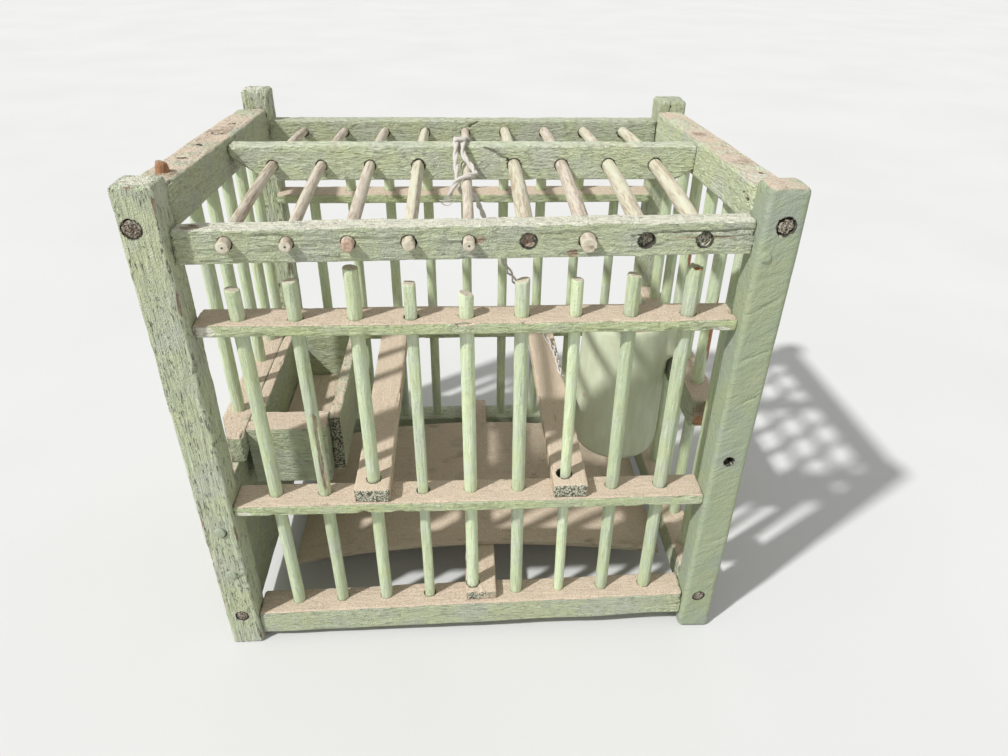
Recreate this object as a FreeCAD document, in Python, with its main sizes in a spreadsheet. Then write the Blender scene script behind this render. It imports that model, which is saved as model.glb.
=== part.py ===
"""Folk-made wooden canary cage: square posts, drilled rails and slats, whittled bars and roof rods.

Millimetres, +X to the right of the front, +Y towards the back, +Z up. The origin is on the ground,
in the middle of the four posts.
"""
import FreeCAD, Part
import math
import os

import Sketcher

doc = FreeCAD.newDocument("canary_cage")
sheet = doc.addObject("Spreadsheet::Sheet", "sizes")

# Driving dimensions
SIZES = {
    "cage_width": 270.0,
    "cage_depth": 202.0,
    "post_size": 16.0,
    "post_height": 260.0,
    "post_edge_radius": 1.6,
    "worn_post_loss": 5.0,
    "top_rail_drop": 32.0,
    "top_rail_tall": 15.0,
    "top_rail_thickness": 10.0,
    "top_rail_setback": 6.0,
    "top_rail_rise": 3.0,
    "upper_slat_drop": 34.5,
    "upper_slat_thickness": 5.7,
    "upper_slat_setback": 5.0,
    "lower_slat_base": 93.0,
    "lower_slat_thickness": 6.3,
    "lower_slat_setback": 2.0,
    "slat_width": 17.5,
    "slat_break_length": 7.0,
    "slat_break_left": 2.0,
    "bottom_rail_base": 7.0,
    "bottom_rail_tall": 16.0,
    "bottom_rail_width": 17.0,
    "bottom_rail_setback": 2.4,
    "bottom_rail_rise": 5.0,
    "bar_diameter": 6.4,
    "bar_end_gap": 21.0,
    "bar_inset": 12.0,
    "bar_seat": 8.0,
    "lean_clearance": 0.1,
    "back_bar_proud": 17.0,
    "rod_diameter": 6.2,
    "rod_lift": 8.0,
    "rod_seat": 6.0,
    "loose_clearance": 0.3,
    "side_rail_width": 15.0,
    "side_rail_tall": 18.0,
    "side_rail_drop": 3.5,
    "side_rail_fall": 8.0,
    "side_bar_end_gap": 18.75,
    "side_bar_seat": 6.0,
    "side_bar_sink": 1.0,
    "stub_length": 14.0,
    "stub_proud": 3.5,
    "ledge_top": 118.0,
    "ledge_tall": 16.0,
    "ledge_break_inner": 18.0,
    "ledge_break_outer": 42.0,
    "side_board_base": 12.0,
    "side_board_thickness": 8.0,
    "side_mid_rail_base": 114.0,
    "side_mid_rail_tall": 17.0,
    "side_mid_rail_gap": 25.0,
    "side_bottom_rail_base": 18.0,
    "side_bottom_rail_tall": 16.0,
    "middle_rail_under_rod": 3.0,
    "middle_rail_tall": 17.5,
    "middle_rail_front": -2.0,
    "middle_rail_thickness": 10.0,
    "left_whittle_length": 17.0,
    "left_whittle_tall": 13.0,
    "right_whittle_length": 9.0,
    "right_whittle_tall": 6.0,
    "perch_width": 17.5,
    "perch_thickness": 8.0,
    "perch_shift": 1.0,
    "perch_end_inset": 3.0,
    "perch_wide_hole": 9.2,
    "strip_width": 17.0,
    "strip_thickness": 6.5,
    "strip_shift": 4.4,
    "strip_end_inset": 5.0,
    "floor_thickness": 3.0,
    "floor_end_gap": 9.0,
    "floor_bow": 12.0,
    "floor_front_gap": 40.5,
    "floor_back_gap": 39.0,
    "floor_clearance": 0.1,
    "trough_width": 48.0,
    "trough_front_gap": 25.5,
    "trough_back_gap": 24.5,
    "trough_deep": 36.0,
    "trough_block": 17.0,
    "trough_wall": 6.0,
    "trough_wall_lap": 9.5,
    "cup_radius": 26.0,
    "cup_mouth_radius": 24.5,
    "cup_mouth": 152.0,
    "cup_tall": 85.0,
    "cup_wall": 3.0,
    "cup_bottom_round": 9.0,
    "cup_hollow_round": 6.0,
    "cup_gap": 0.9,
    "cup_place": -4.0,
    "hook_width": 11.0,
    "hook_reach": 10.5,
    "hook_thickness": 5.0,
    "hook_root": 34.0,
    "hook_shoulder": 4.0,
    "hook_clearance": 0.3,
    "hook_side_gap": 0.6,
    "rail_peg_diameter": 9.0,
    "rail_peg_drop": 12.5,
    "rail_peg_shift": 1.5,
    "side_peg_diameter": 6.4,
    "peg_depth": 12.0,
    "peg_clearance": 0.05,
    "left_peg_height": 22.0,
    "nail_head_diameter": 6.0,
    "nail_head_thickness": 1.2,
    "nail_shank_diameter": 2.4,
    "nail_length": 30.0,
    "nail_upper_height": 85.0,
    "nail_lower_height": 54.5,
    "string_diameter": 2.2,
}

# From left to right: how far each front bar stands above the upper slat, how far it leans sideways on its
# way up to that slat, and how far each roof rod stands in front of the front top rail. A rod with a
# negative value is broken off inside its hole.
FRONT_BAR_PROUD = (14.5, 18.0, 24.0, 16.4, 11.6, 17.6, 17.4, 19.6, 24.0)
FRONT_BAR_LEAN = (-2.7, -2.6, -1.1, -1.3, -1.4, -1.3, -1.8, -1.5, 0.0)
ROOF_ROD_PROUD = (4.4, 3.8, 4.0, 3.4, 4.2, -1.5, 4.8, -2.0, -1.2)
for number, (bar_proud, bar_lean, rod_proud) in enumerate(
        zip(FRONT_BAR_PROUD, FRONT_BAR_LEAN, ROOF_ROD_PROUD), start=1):
    SIZES[f"front_bar_{number}_proud"] = bar_proud
    SIZES[f"front_bar_{number}_lean"] = bar_lean
    SIZES[f"roof_rod_{number}_proud"] = rod_proud

for row, (alias, size) in enumerate(SIZES.items(), start=1):
    sheet.set(f"A{row}", alias.replace("_", " "))
    sheet.set(f"B{row}", str(size))
    sheet.setAlias(f"B{row}", alias)
doc.recompute()

BARS_PER_ROW = len(FRONT_BAR_PROUD)
SIDE_BARS = 6
BAR_STEPS = [number - (BARS_PER_ROW + 1) / 2 for number in range(1, BARS_PER_ROW + 1)]
SIDE_BAR_STEPS = [number - (SIDE_BARS + 1) / 2 for number in range(1, SIDE_BARS + 1)]
WHITTLED_BARS = (4, 8, 9)
WHITTLED_FACETS = 8

nodes = []
drilled = []


# Places that several pieces share, as expressions on the sheet
HALF_WIDTH = "(sizes.cage_width / 2)"
HALF_DEPTH = "(sizes.cage_depth / 2)"
INSIDE_X = f"({HALF_WIDTH} - sizes.post_size)"
INSIDE_Y = f"({HALF_DEPTH} - sizes.post_size)"
POST_MIDDLE_X = f"({HALF_WIDTH} - sizes.post_size / 2)"
BAR_ROW_Y = f"({HALF_DEPTH} - sizes.bar_inset)"
BAR_PITCH = f"(2 * ({INSIDE_X} - sizes.bar_end_gap) / {BARS_PER_ROW - 1})"
SIDE_BAR_PITCH = f"(2 * ({INSIDE_Y} - sizes.side_bar_end_gap) / {SIDE_BARS - 1})"
TOP_RAIL_BASE = "(sizes.post_height - sizes.top_rail_drop)"
ROD_HEIGHT = f"({TOP_RAIL_BASE} + sizes.rod_lift)"
UPPER_SLAT_BASE = f"({TOP_RAIL_BASE} - sizes.upper_slat_drop)"
SIDE_RAIL_TOP = "(sizes.post_height - sizes.side_rail_drop)"
SIDE_RAIL_BASE = f"({SIDE_RAIL_TOP} - sizes.side_rail_tall)"
MIDDLE_RAIL_BASE = f"({ROD_HEIGHT} - sizes.middle_rail_under_rod)"
BAR_RADIUS = "(sizes.bar_diameter / 2)"
BAR_HOLE = f"({BAR_RADIUS} + sizes.loose_clearance)"
ROD_RADIUS = "(sizes.rod_diameter / 2)"
ROD_HOLE = f"({ROD_RADIUS} + sizes.loose_clearance)"
BAR_FOOT = "(sizes.bottom_rail_base + sizes.bottom_rail_tall - sizes.bar_seat)"
UPPER_SLAT_TOP = f"({UPPER_SLAT_BASE} + sizes.upper_slat_thickness)"
LOWER_SLAT_TOP = "(sizes.lower_slat_base + sizes.lower_slat_thickness)"
BOTTOM_RAIL_TOP = "(sizes.bottom_rail_base + sizes.bottom_rail_tall)"
TOP_RAIL_FACE = f"({HALF_DEPTH} - sizes.top_rail_setback)"
ROD_BACK_END = f"({TOP_RAIL_FACE} - sizes.top_rail_thickness + sizes.rod_seat)"
SIDE_RAIL_OUT = f"({INSIDE_X} + sizes.side_rail_width)"
LEDGE_BASE = "(sizes.ledge_top - sizes.ledge_tall)"
SIDE_MID_TOP = "(sizes.side_mid_rail_base + sizes.side_mid_rail_tall)"
UPPER_SLAT_MIDDLE = f"({UPPER_SLAT_BASE} + sizes.upper_slat_thickness / 2)"
BAR_RISE = f"({UPPER_SLAT_MIDDLE} - {BAR_FOOT})"
RAIL_PEG_X = f"({POST_MIDDLE_X} + sizes.rail_peg_shift)"
RAIL_PEG_HEIGHT = f"({SIDE_RAIL_TOP} - sizes.rail_peg_drop)"
BACK_PEG_HEIGHT = f"({RAIL_PEG_HEIGHT} - sizes.side_rail_fall)"
MID_PEG_HEIGHT = "(sizes.side_mid_rail_base + sizes.side_mid_rail_tall / 2)"
LOW_PEG_HEIGHT = "(sizes.side_bottom_rail_base + sizes.side_bottom_rail_tall / 2)"
RAIL_PEG_HOLE = "(sizes.rail_peg_diameter / 2 + sizes.peg_clearance)"
SIDE_PEG_HOLE = "(sizes.side_peg_diameter / 2 + sizes.peg_clearance)"
NAIL_HOLE = "(sizes.nail_shank_diameter / 2 + sizes.peg_clearance)"
STRIP_RISE = f"(sizes.bottom_rail_rise * (sizes.strip_shift + sizes.strip_width / 2) / (2 * {INSIDE_X}))"
STRIP_BASE = f"({BOTTOM_RAIL_TOP} + {STRIP_RISE})"
CUT_MARGIN = "1"
SAME_LEVEL = 0.01


def number_of(expression):
    """The present value of an expression on the sheet, in millimetres."""
    value = sheet.evalExpression(expression)
    return float(getattr(value, "Value", value))


def minus(expression):
    return f"-({expression})"


def plus(*terms):
    return "(" + " + ".join(terms) + ")"


def front_to_back(side, setback, width):
    """Y from and to for a board of a frame: side -1 is the front frame, side 1 the back one."""
    outer = f"({HALF_DEPTH} - {setback})"
    inner = f"({outer} - {width})"
    return (minus(outer), minus(inner)) if side < 0 else (inner, outer)


# Sketch planes: role of the body's own plane, sign of its normal along the global axis
PLANES = {"XY": ("XY_Plane", 1), "XZ": ("XZ_Plane", -1), "YZ": ("YZ_Plane", 1)}


def sketch_on(body, plane, place):
    """An empty sketch of the body, parallel to plane, at place along the plane's normal axis."""
    role, sign = PLANES[plane]
    sketch = body.newObject("Sketcher::SketchObject", body.Label + "_sketch")
    origin_plane = next(item for item in body.Origin.OriginFeatures if item.Role == role)
    sketch.AttachmentSupport = [(origin_plane, "")]
    sketch.MapMode = "FlatFace"
    sketch.setExpression("AttachmentOffset.Base.z", place if sign > 0 else minus(place))
    return sketch


def hold(sketch, kind, geometry, vertex, expression):
    """Measure one vertex from the sketch's origin and bind that distance to the sheet."""
    index = sketch.addConstraint(Sketcher.Constraint(kind, -1, 1, geometry, vertex, number_of(expression)))
    sketch.setExpression(f"Constraints[{index}]", expression)


def new_body(label):
    body = doc.addObject("PartDesign::Body", label)
    body.Label = label
    return body


def add_node(piece, label):
    piece.Label = label
    nodes.append(piece)
    return piece


def pad_between(body, sketch, low, high):
    pad = body.newObject("PartDesign::Pad", body.Label + "_pad")
    pad.Profile = sketch
    pad.setExpression("Length", f"{high} - {minus(low)[1:]}")
    return pad


def close_outline(sketch, outline):
    """A closed straight-sided outline whose corners are pairs of expressions."""
    corners = [FreeCAD.Vector(number_of(u), number_of(v), 0) for u, v in outline]
    for index, corner in enumerate(corners):
        sketch.addGeometry(Part.LineSegment(corner, corners[(index + 1) % len(corners)]), False)
    for index in range(len(corners)):
        following = (index + 1) % len(corners)
        sketch.addConstraint(Sketcher.Constraint("Coincident", index, 2, following, 1))
    for index, (u, v) in enumerate(outline):
        hold(sketch, "DistanceX", index, 1, u)
        hold(sketch, "DistanceY", index, 1, v)


def board(label, plane, outline, low, high):
    """A board with a straight-sided outline in one plane, from low to high along the plane's normal."""
    body = new_body(label)
    sketch = sketch_on(body, plane, high if plane == "XZ" else low)
    close_outline(sketch, outline)
    pad_between(body, sketch, low, high)
    return add_node(body, label)


def block(label, x, y, z):
    """A square-edged board: x, y and z are each a pair of expressions, from and to."""
    outline = [(x[0], z[0]), (x[1], z[0]), (x[1], z[1]), (x[0], z[1])]
    return board(label, "XZ", outline, y[0], y[1])


def drill(body, plane, centres, radius, start, depth):
    """Round holes from start towards the positive side of the plane's normal axis."""
    before = body.Tip
    sketch = sketch_on(body, plane, start)
    for index, (u, v) in enumerate(centres):
        centre = FreeCAD.Vector(number_of(u), number_of(v), 0)
        sketch.addGeometry(Part.Circle(centre, FreeCAD.Vector(0, 0, 1), number_of(radius)), False)
        hold(sketch, "DistanceX", index, 3, u)
        hold(sketch, "DistanceY", index, 3, v)
        limit = sketch.addConstraint(Sketcher.Constraint("Radius", index, number_of(radius)))
        sketch.setExpression(f"Constraints[{limit}]", radius)
    pocket = body.newObject("PartDesign::Pocket", body.Label + "_holes")
    pocket.Profile = sketch
    pocket.Reversed = PLANES[plane][1] > 0
    pocket.setExpression("Length", depth)
    drilled.append((before, pocket))
    return pocket


def dowel(name, radius, x, y, z, length, along="Z", facets=0, lean=None):
    """A round bar from (x, y, z) along +Z or +Y, or a whittled one with flat facets, or a leaning one."""
    if facets:
        bar = doc.addObject("Part::Prism", name)
        bar.Polygon = facets
        bar.setExpression("Circumradius", radius)
    else:
        bar = doc.addObject("Part::Cylinder", name)
        bar.setExpression("Radius", radius)
    bar.setExpression("Height", length)
    if along == "Y":
        bar.Placement = FreeCAD.Placement(FreeCAD.Vector(), FreeCAD.Rotation(FreeCAD.Vector(1, 0, 0), -90))
    if lean:
        bar.Placement = FreeCAD.Placement(FreeCAD.Vector(), FreeCAD.Rotation(FreeCAD.Vector(0, 1, 0), 1))
        bar.setExpression("Placement.Rotation.Angle", lean)
    for axis, place in zip("xyz", (x, y, z)):
        bar.setExpression(f"Placement.Base.{axis}", place)
    return bar


def group(label, pieces):
    """Like pieces that share one node, each still a solid of its own."""
    compound = doc.addObject("Part::Compound", label)
    compound.Links = pieces
    return add_node(compound, label)


# Corner posts
def corner_post(label, side_x, side_y, height):
    """A square post with worn edges, standing on the ground."""
    x = (INSIDE_X, HALF_WIDTH) if side_x > 0 else (minus(HALF_WIDTH), minus(INSIDE_X))
    y = (INSIDE_Y, HALF_DEPTH) if side_y > 0 else (minus(HALF_DEPTH), minus(INSIDE_Y))
    post = block(label, x, y, ("0", height))
    doc.recompute()
    pad = post.Tip
    fillet = post.newObject("PartDesign::Fillet", label + "_worn_edges")
    upper_edges = [
        f"Edge{index}"
        for index, edge in enumerate(pad.Shape.Edges, start=1)
        if max(vertex.Z for vertex in edge.Vertexes) > number_of(height) / 2
    ]
    fillet.Base = (pad, upper_edges)
    fillet.setExpression("Radius", "sizes.post_edge_radius")
    return post


WORN_HEIGHT = "(sizes.post_height - sizes.worn_post_loss)"
left_front_post = corner_post("left_front_post", -1, -1, "sizes.post_height")
right_front_post = corner_post("right_front_post", 1, -1, "sizes.post_height")
left_back_post = corner_post("left_back_post", -1, 1, "sizes.post_height")
right_back_post = corner_post("right_back_post", 1, 1, WORN_HEIGHT)


def through_post(post, side_x, side_y, height, radius, place=POST_MIDDLE_X):
    """A hole along Y right through a post, at a place measured outwards from the middle of the cage."""
    x = place if side_x > 0 else minus(place)
    face = INSIDE_Y if side_y > 0 else minus(HALF_DEPTH)
    depth = plus("sizes.post_size", CUT_MARGIN, CUT_MARGIN)
    drill(post, "XZ", [(x, height)], radius, f"{face} - {CUT_MARGIN}", depth)


through_post(left_front_post, -1, -1, RAIL_PEG_HEIGHT, RAIL_PEG_HOLE, RAIL_PEG_X)
through_post(left_front_post, -1, -1, "sizes.left_peg_height", SIDE_PEG_HOLE)
through_post(right_front_post, 1, -1, RAIL_PEG_HEIGHT, RAIL_PEG_HOLE, RAIL_PEG_X)
through_post(right_front_post, 1, -1, MID_PEG_HEIGHT, SIDE_PEG_HOLE)
through_post(right_front_post, 1, -1, LOW_PEG_HEIGHT, SIDE_PEG_HOLE)
through_post(left_back_post, -1, 1, BACK_PEG_HEIGHT, RAIL_PEG_HOLE, RAIL_PEG_X)
through_post(left_back_post, -1, 1, "sizes.left_peg_height", SIDE_PEG_HOLE)
through_post(right_back_post, 1, 1, BACK_PEG_HEIGHT, RAIL_PEG_HOLE, RAIL_PEG_X)
through_post(right_back_post, 1, 1, MID_PEG_HEIGHT, SIDE_PEG_HOLE)
through_post(right_back_post, 1, 1, LOW_PEG_HEIGHT, SIDE_PEG_HOLE)
NAIL_HEIGHTS = ("sizes.nail_upper_height", "sizes.nail_lower_height")
for nail_height in NAIL_HEIGHTS:
    through_post(left_front_post, -1, -1, nail_height, NAIL_HOLE)
    through_post(left_back_post, -1, 1, nail_height, NAIL_HOLE)


# Front and back frames: two rails and two slats between the posts
def sloped_outline(base, tall, rise):
    """A rail between the posts whose right end is higher than its left end by rise."""
    low = f"({base} - {rise} / 2)"
    high = f"({base} + {rise} / 2)"
    return [
        (minus(INSIDE_X), low),
        (INSIDE_X, high),
        (INSIDE_X, plus(high, tall)),
        (minus(INSIDE_X), plus(low, tall)),
    ]


def broken_outline(base, thickness):
    """A level slat whose lower left corner has split away."""
    top = plus(base, thickness)
    return [
        (f"-{INSIDE_X} + sizes.slat_break_length", base),
        (INSIDE_X, base),
        (INSIDE_X, top),
        (minus(INSIDE_X), top),
        (minus(INSIDE_X), f"{top} - sizes.slat_break_left"),
    ]


def front_bar_x(number, height):
    """X of a leaning front bar's axis at a height."""
    step = BAR_STEPS[number - 1]
    shift = f"sizes.front_bar_{number}_lean * ({height} - {BAR_FOOT}) / {BAR_RISE}"
    return f"({step} * {BAR_PITCH} + {shift})"


def bar_centres(side, height):
    if side > 0:
        return [(f"{step} * {BAR_PITCH}", BAR_ROW_Y) for step in BAR_STEPS]
    return [(front_bar_x(number, height), minus(BAR_ROW_Y)) for number in range(1, BARS_PER_ROW + 1)]


def drill_slat(slat, side, base, thickness):
    depth = plus(thickness, CUT_MARGIN, CUT_MARGIN)
    centres = bar_centres(side, f"({base} + {thickness} / 2)")
    drill(slat, "XY", centres, BAR_HOLE, f"{base} - {CUT_MARGIN}", depth)


def frame_boards(name, side, top_rise, bottom_rise, seat_room):
    """The four boards of one frame, drilled for its row of bars and for the roof rods."""
    top_y = front_to_back(side, "sizes.top_rail_setback", "sizes.top_rail_thickness")
    top_outline = sloped_outline(TOP_RAIL_BASE, "sizes.top_rail_tall", top_rise)
    top_rail = board(f"{name}_top_rail", "XZ", top_outline, *top_y)
    rod_centres = [(f"{step} * {BAR_PITCH}", ROD_HEIGHT) for step in BAR_STEPS]
    rod_depth = plus("sizes.top_rail_thickness", CUT_MARGIN, CUT_MARGIN) if side < 0 else "sizes.rod_seat"
    rod_start = top_y[0] if side > 0 else f"{top_y[0]} - {CUT_MARGIN}"
    drill(top_rail, "XZ", rod_centres, ROD_HOLE, rod_start, rod_depth)

    upper_y = front_to_back(side, "sizes.upper_slat_setback", "sizes.slat_width")
    upper_z = (UPPER_SLAT_BASE, UPPER_SLAT_TOP)
    upper_slat = block(f"{name}_upper_slat", (minus(INSIDE_X), INSIDE_X), upper_y, upper_z)
    drill_slat(upper_slat, side, UPPER_SLAT_BASE, "sizes.upper_slat_thickness")

    lower_y = front_to_back(side, "sizes.lower_slat_setback", "sizes.slat_width")
    lower_outline = broken_outline("sizes.lower_slat_base", "sizes.lower_slat_thickness")
    lower_slat = board(f"{name}_lower_slat", "XZ", lower_outline, *lower_y)
    drill_slat(lower_slat, side, "sizes.lower_slat_base", "sizes.lower_slat_thickness")

    bottom_y = front_to_back(side, "sizes.bottom_rail_setback", "sizes.bottom_rail_width")
    bottom_outline = sloped_outline("sizes.bottom_rail_base", "sizes.bottom_rail_tall", bottom_rise)
    bottom_rail = board(f"{name}_bottom_rail", "XZ", bottom_outline, *bottom_y)
    seat_centres = bar_centres(side, f"({BAR_FOOT} + sizes.bar_seat / 2)")
    drill(bottom_rail, "XY", seat_centres, BAR_HOLE, f"{BAR_FOOT} - {seat_room}",
          plus("sizes.bar_seat", bottom_rise, seat_room))


frame_boards("front", -1, "sizes.top_rail_rise", "sizes.bottom_rail_rise", "sizes.lean_clearance")
frame_boards("back", 1, "0", "0", "0")

# Front bars stand in the bottom rail and pass both slats; their tops are free under the top rail
for number, step in enumerate(BAR_STEPS, start=1):
    bar_name = f"front_bar_{number}"
    lean_angle = f"atan(sizes.front_bar_{number}_lean / {BAR_RISE})"
    bar_tall = f"({UPPER_SLAT_TOP} + sizes.front_bar_{number}_proud - {BAR_FOOT})"
    front_bar = dowel(bar_name, BAR_RADIUS, f"{step} * {BAR_PITCH}", minus(BAR_ROW_Y), BAR_FOOT,
                      f"{bar_tall} / cos({lean_angle})", lean=lean_angle,
                      facets=WHITTLED_FACETS if number in WHITTLED_BARS else 0)
    add_node(front_bar, bar_name)

back_bar_length = f"{UPPER_SLAT_TOP} + sizes.back_bar_proud - {BAR_FOOT}"
group("back_bars", [
    dowel(f"back_bar_{number}", BAR_RADIUS, f"{step} * {BAR_PITCH}", BAR_ROW_Y, BAR_FOOT, back_bar_length)
    for number, step in enumerate(BAR_STEPS, start=1)
])

# Roof rods lie through the front and middle rails and end in the back rail
for number, step in enumerate(BAR_STEPS, start=1):
    rod_name = f"roof_rod_{number}"
    rod_front = f"-{TOP_RAIL_FACE} - sizes.roof_rod_{number}_proud"
    roof_rod = dowel(rod_name, ROD_RADIUS, f"{step} * {BAR_PITCH}", rod_front, ROD_HEIGHT,
                     f"{ROD_BACK_END} - ({rod_front})", along="Y")
    add_node(roof_rod, rod_name)


# Side rails run between the front and back posts, lower at the back than at the front
def side_range(side_x):
    return (INSIDE_X, SIDE_RAIL_OUT) if side_x > 0 else (minus(SIDE_RAIL_OUT), minus(INSIDE_X))


SIDE_BAR_X = POST_MIDDLE_X


def side_bar_centres(side_x, steps):
    row = SIDE_BAR_X if side_x > 0 else minus(SIDE_BAR_X)
    return [(row, f"{step} * {SIDE_BAR_PITCH}") for step in steps]


def side_top_rail(label, side_x):
    outline = [
        (minus(INSIDE_Y), SIDE_RAIL_BASE),
        (INSIDE_Y, f"{SIDE_RAIL_BASE} - sizes.side_rail_fall"),
        (INSIDE_Y, f"{SIDE_RAIL_TOP} - sizes.side_rail_fall"),
        (minus(INSIDE_Y), SIDE_RAIL_TOP),
    ]
    low, high = side_range(side_x)
    rail = board(label, "YZ", outline, low, high)
    start = f"{SIDE_RAIL_BASE} - sizes.side_rail_fall - {CUT_MARGIN}"
    depth = plus("sizes.side_rail_tall", "sizes.side_rail_fall", CUT_MARGIN, CUT_MARGIN)
    drill(rail, "XY", side_bar_centres(side_x, SIDE_BAR_STEPS), BAR_HOLE, start, depth)
    peg_x = RAIL_PEG_X if side_x > 0 else minus(RAIL_PEG_X)
    drill(rail, "XZ", [(peg_x, RAIL_PEG_HEIGHT)], RAIL_PEG_HOLE, minus(INSIDE_Y), "sizes.peg_depth")
    back_start = f"{INSIDE_Y} - sizes.peg_depth"
    drill(rail, "XZ", [(peg_x, BACK_PEG_HEIGHT)], RAIL_PEG_HOLE, back_start, "sizes.peg_depth")
    return rail


side_top_rail("left_top_rail", -1)
side_top_rail("right_top_rail", 1)

# Left side: a broken-ended ledge on a side board that is nailed between the posts
ledge_outline = [
    (minus(SIDE_RAIL_OUT), f"-{INSIDE_Y} + sizes.ledge_break_outer"),
    (minus(INSIDE_X), f"-{INSIDE_Y} + sizes.ledge_break_inner"),
    (minus(INSIDE_X), INSIDE_Y),
    (minus(SIDE_RAIL_OUT), INSIDE_Y),
]
ledge = board("left_ledge", "XY", ledge_outline, LEDGE_BASE, "sizes.ledge_top")
LEFT_STEPS = SIDE_BAR_STEPS[1:]
LEDGE_SEAT = "(sizes.ledge_top - sizes.side_bar_seat)"
drill(ledge, "XY", side_bar_centres(-1, LEFT_STEPS), BAR_HOLE, LEDGE_SEAT,
      plus("sizes.side_bar_seat", CUT_MARGIN))

board_half = "(sizes.side_board_thickness / 2)"
board_x = (f"-{POST_MIDDLE_X} - {board_half}", f"-{POST_MIDDLE_X} + {board_half}")
side_board = block("left_side_board", board_x, (minus(INSIDE_Y), INSIDE_Y),
                   ("sizes.side_board_base", LEDGE_BASE))
NAIL_BITE = "(sizes.nail_length - sizes.post_size)"
for end_start, bite_start in ((minus(INSIDE_Y), minus(INSIDE_Y)),
                              (f"{INSIDE_Y} - sizes.peg_depth", f"{INSIDE_Y} - {NAIL_BITE}")):
    drill(side_board, "XZ", [(minus(POST_MIDDLE_X), "sizes.left_peg_height")], SIDE_PEG_HOLE,
          end_start, "sizes.peg_depth")
    nail_centres = [(minus(POST_MIDDLE_X), nail_height) for nail_height in NAIL_HEIGHTS]
    drill(side_board, "XZ", nail_centres, NAIL_HOLE, bite_start, NAIL_BITE)

# Right side: a middle rail that has lost its front peg, and a bottom rail
mid_y = (f"-{INSIDE_Y} + sizes.side_mid_rail_gap", INSIDE_Y)
right_mid = block("right_mid_rail", side_range(1), mid_y, ("sizes.side_mid_rail_base", SIDE_MID_TOP))
drill(right_mid, "XY", side_bar_centres(1, SIDE_BAR_STEPS[1:]), BAR_HOLE,
      f"sizes.side_mid_rail_base - {CUT_MARGIN}", plus("sizes.side_mid_rail_tall", CUT_MARGIN, CUT_MARGIN))
drill(right_mid, "XZ", [(POST_MIDDLE_X, MID_PEG_HEIGHT)], SIDE_PEG_HOLE,
      f"{INSIDE_Y} - sizes.peg_depth", "sizes.peg_depth")

LOW_RAIL_TOP = "(sizes.side_bottom_rail_base + sizes.side_bottom_rail_tall)"
LOW_SEAT = f"({LOW_RAIL_TOP} - sizes.side_bar_seat)"
right_low = block("right_bottom_rail", side_range(1), (minus(INSIDE_Y), INSIDE_Y),
                  ("sizes.side_bottom_rail_base", LOW_RAIL_TOP))
drill(right_low, "XY", side_bar_centres(1, SIDE_BAR_STEPS), BAR_HOLE, LOW_SEAT,
      plus("sizes.side_bar_seat", CUT_MARGIN))
for low_start in (minus(INSIDE_Y), f"{INSIDE_Y} - sizes.peg_depth"):
    drill(right_low, "XZ", [(POST_MIDDLE_X, LOW_PEG_HEIGHT)], SIDE_PEG_HOLE, low_start, "sizes.peg_depth")


# Side bars end just inside the tops of the sloping rails
def side_rail_top_at(step):
    share = f"({step} * {SIDE_BAR_PITCH} + {INSIDE_Y}) / (2 * {INSIDE_Y})"
    return f"({SIDE_RAIL_TOP} - sizes.side_rail_fall * {share})"


def side_bars(side_x, steps, foot):
    bars = []
    for (x, y), step in zip(side_bar_centres(side_x, steps), steps):
        length = f"{side_rail_top_at(step)} - sizes.side_bar_sink - {foot}"
        bars.append(dowel(f"side_bar_{len(doc.Objects)}", BAR_RADIUS, x, y, foot, length))
    return bars


stub_step = SIDE_BAR_STEPS[0]
stub_x, stub_y = side_bar_centres(-1, [stub_step])[0]
stub_foot = f"{side_rail_top_at(stub_step)} + sizes.stub_proud - sizes.stub_length"
stub = dowel("left_bar_stub", BAR_RADIUS, stub_x, stub_y, stub_foot, "sizes.stub_length")
group("left_side_bars", side_bars(-1, LEFT_STEPS, LEDGE_SEAT) + [stub])
group("right_side_bars", side_bars(1, SIDE_BAR_STEPS, LOW_SEAT))

# Middle rail: carries the roof rods half way, with its lower corners whittled to fit
middle_top = f"({MIDDLE_RAIL_BASE} + sizes.middle_rail_tall)"
middle_outline = [
    (f"-{INSIDE_X} + sizes.left_whittle_length", MIDDLE_RAIL_BASE),
    (f"{INSIDE_X} - sizes.right_whittle_length", MIDDLE_RAIL_BASE),
    (INSIDE_X, f"{MIDDLE_RAIL_BASE} + sizes.right_whittle_tall"),
    (INSIDE_X, middle_top),
    (minus(INSIDE_X), middle_top),
    (minus(INSIDE_X), f"{MIDDLE_RAIL_BASE} + sizes.left_whittle_tall"),
]
middle_back = "(sizes.middle_rail_front + sizes.middle_rail_thickness)"
middle_rail = board("middle_rail", "XZ", middle_outline, "sizes.middle_rail_front", middle_back)
drill(middle_rail, "XZ", [(f"{step} * {BAR_PITCH}", ROD_HEIGHT) for step in BAR_STEPS],
      ROD_HOLE, f"sizes.middle_rail_front - {CUT_MARGIN}",
      plus("sizes.middle_rail_thickness", CUT_MARGIN, CUT_MARGIN))

# Perch strips lie on the lower slats, threaded on the third bar from each side
PERCH_BARS = {"left_perch": 3, "right_perch": 7}
PERCH_TOP = f"({LOWER_SLAT_TOP} + sizes.perch_thickness)"
PERCH_MIDDLE = f"({LOWER_SLAT_TOP} + sizes.perch_thickness / 2)"
PERCH_DRILL = plus("sizes.perch_thickness", CUT_MARGIN, CUT_MARGIN)
perch_y = (f"-{HALF_DEPTH} + sizes.perch_end_inset", f"{HALF_DEPTH} - sizes.perch_end_inset")


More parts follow.
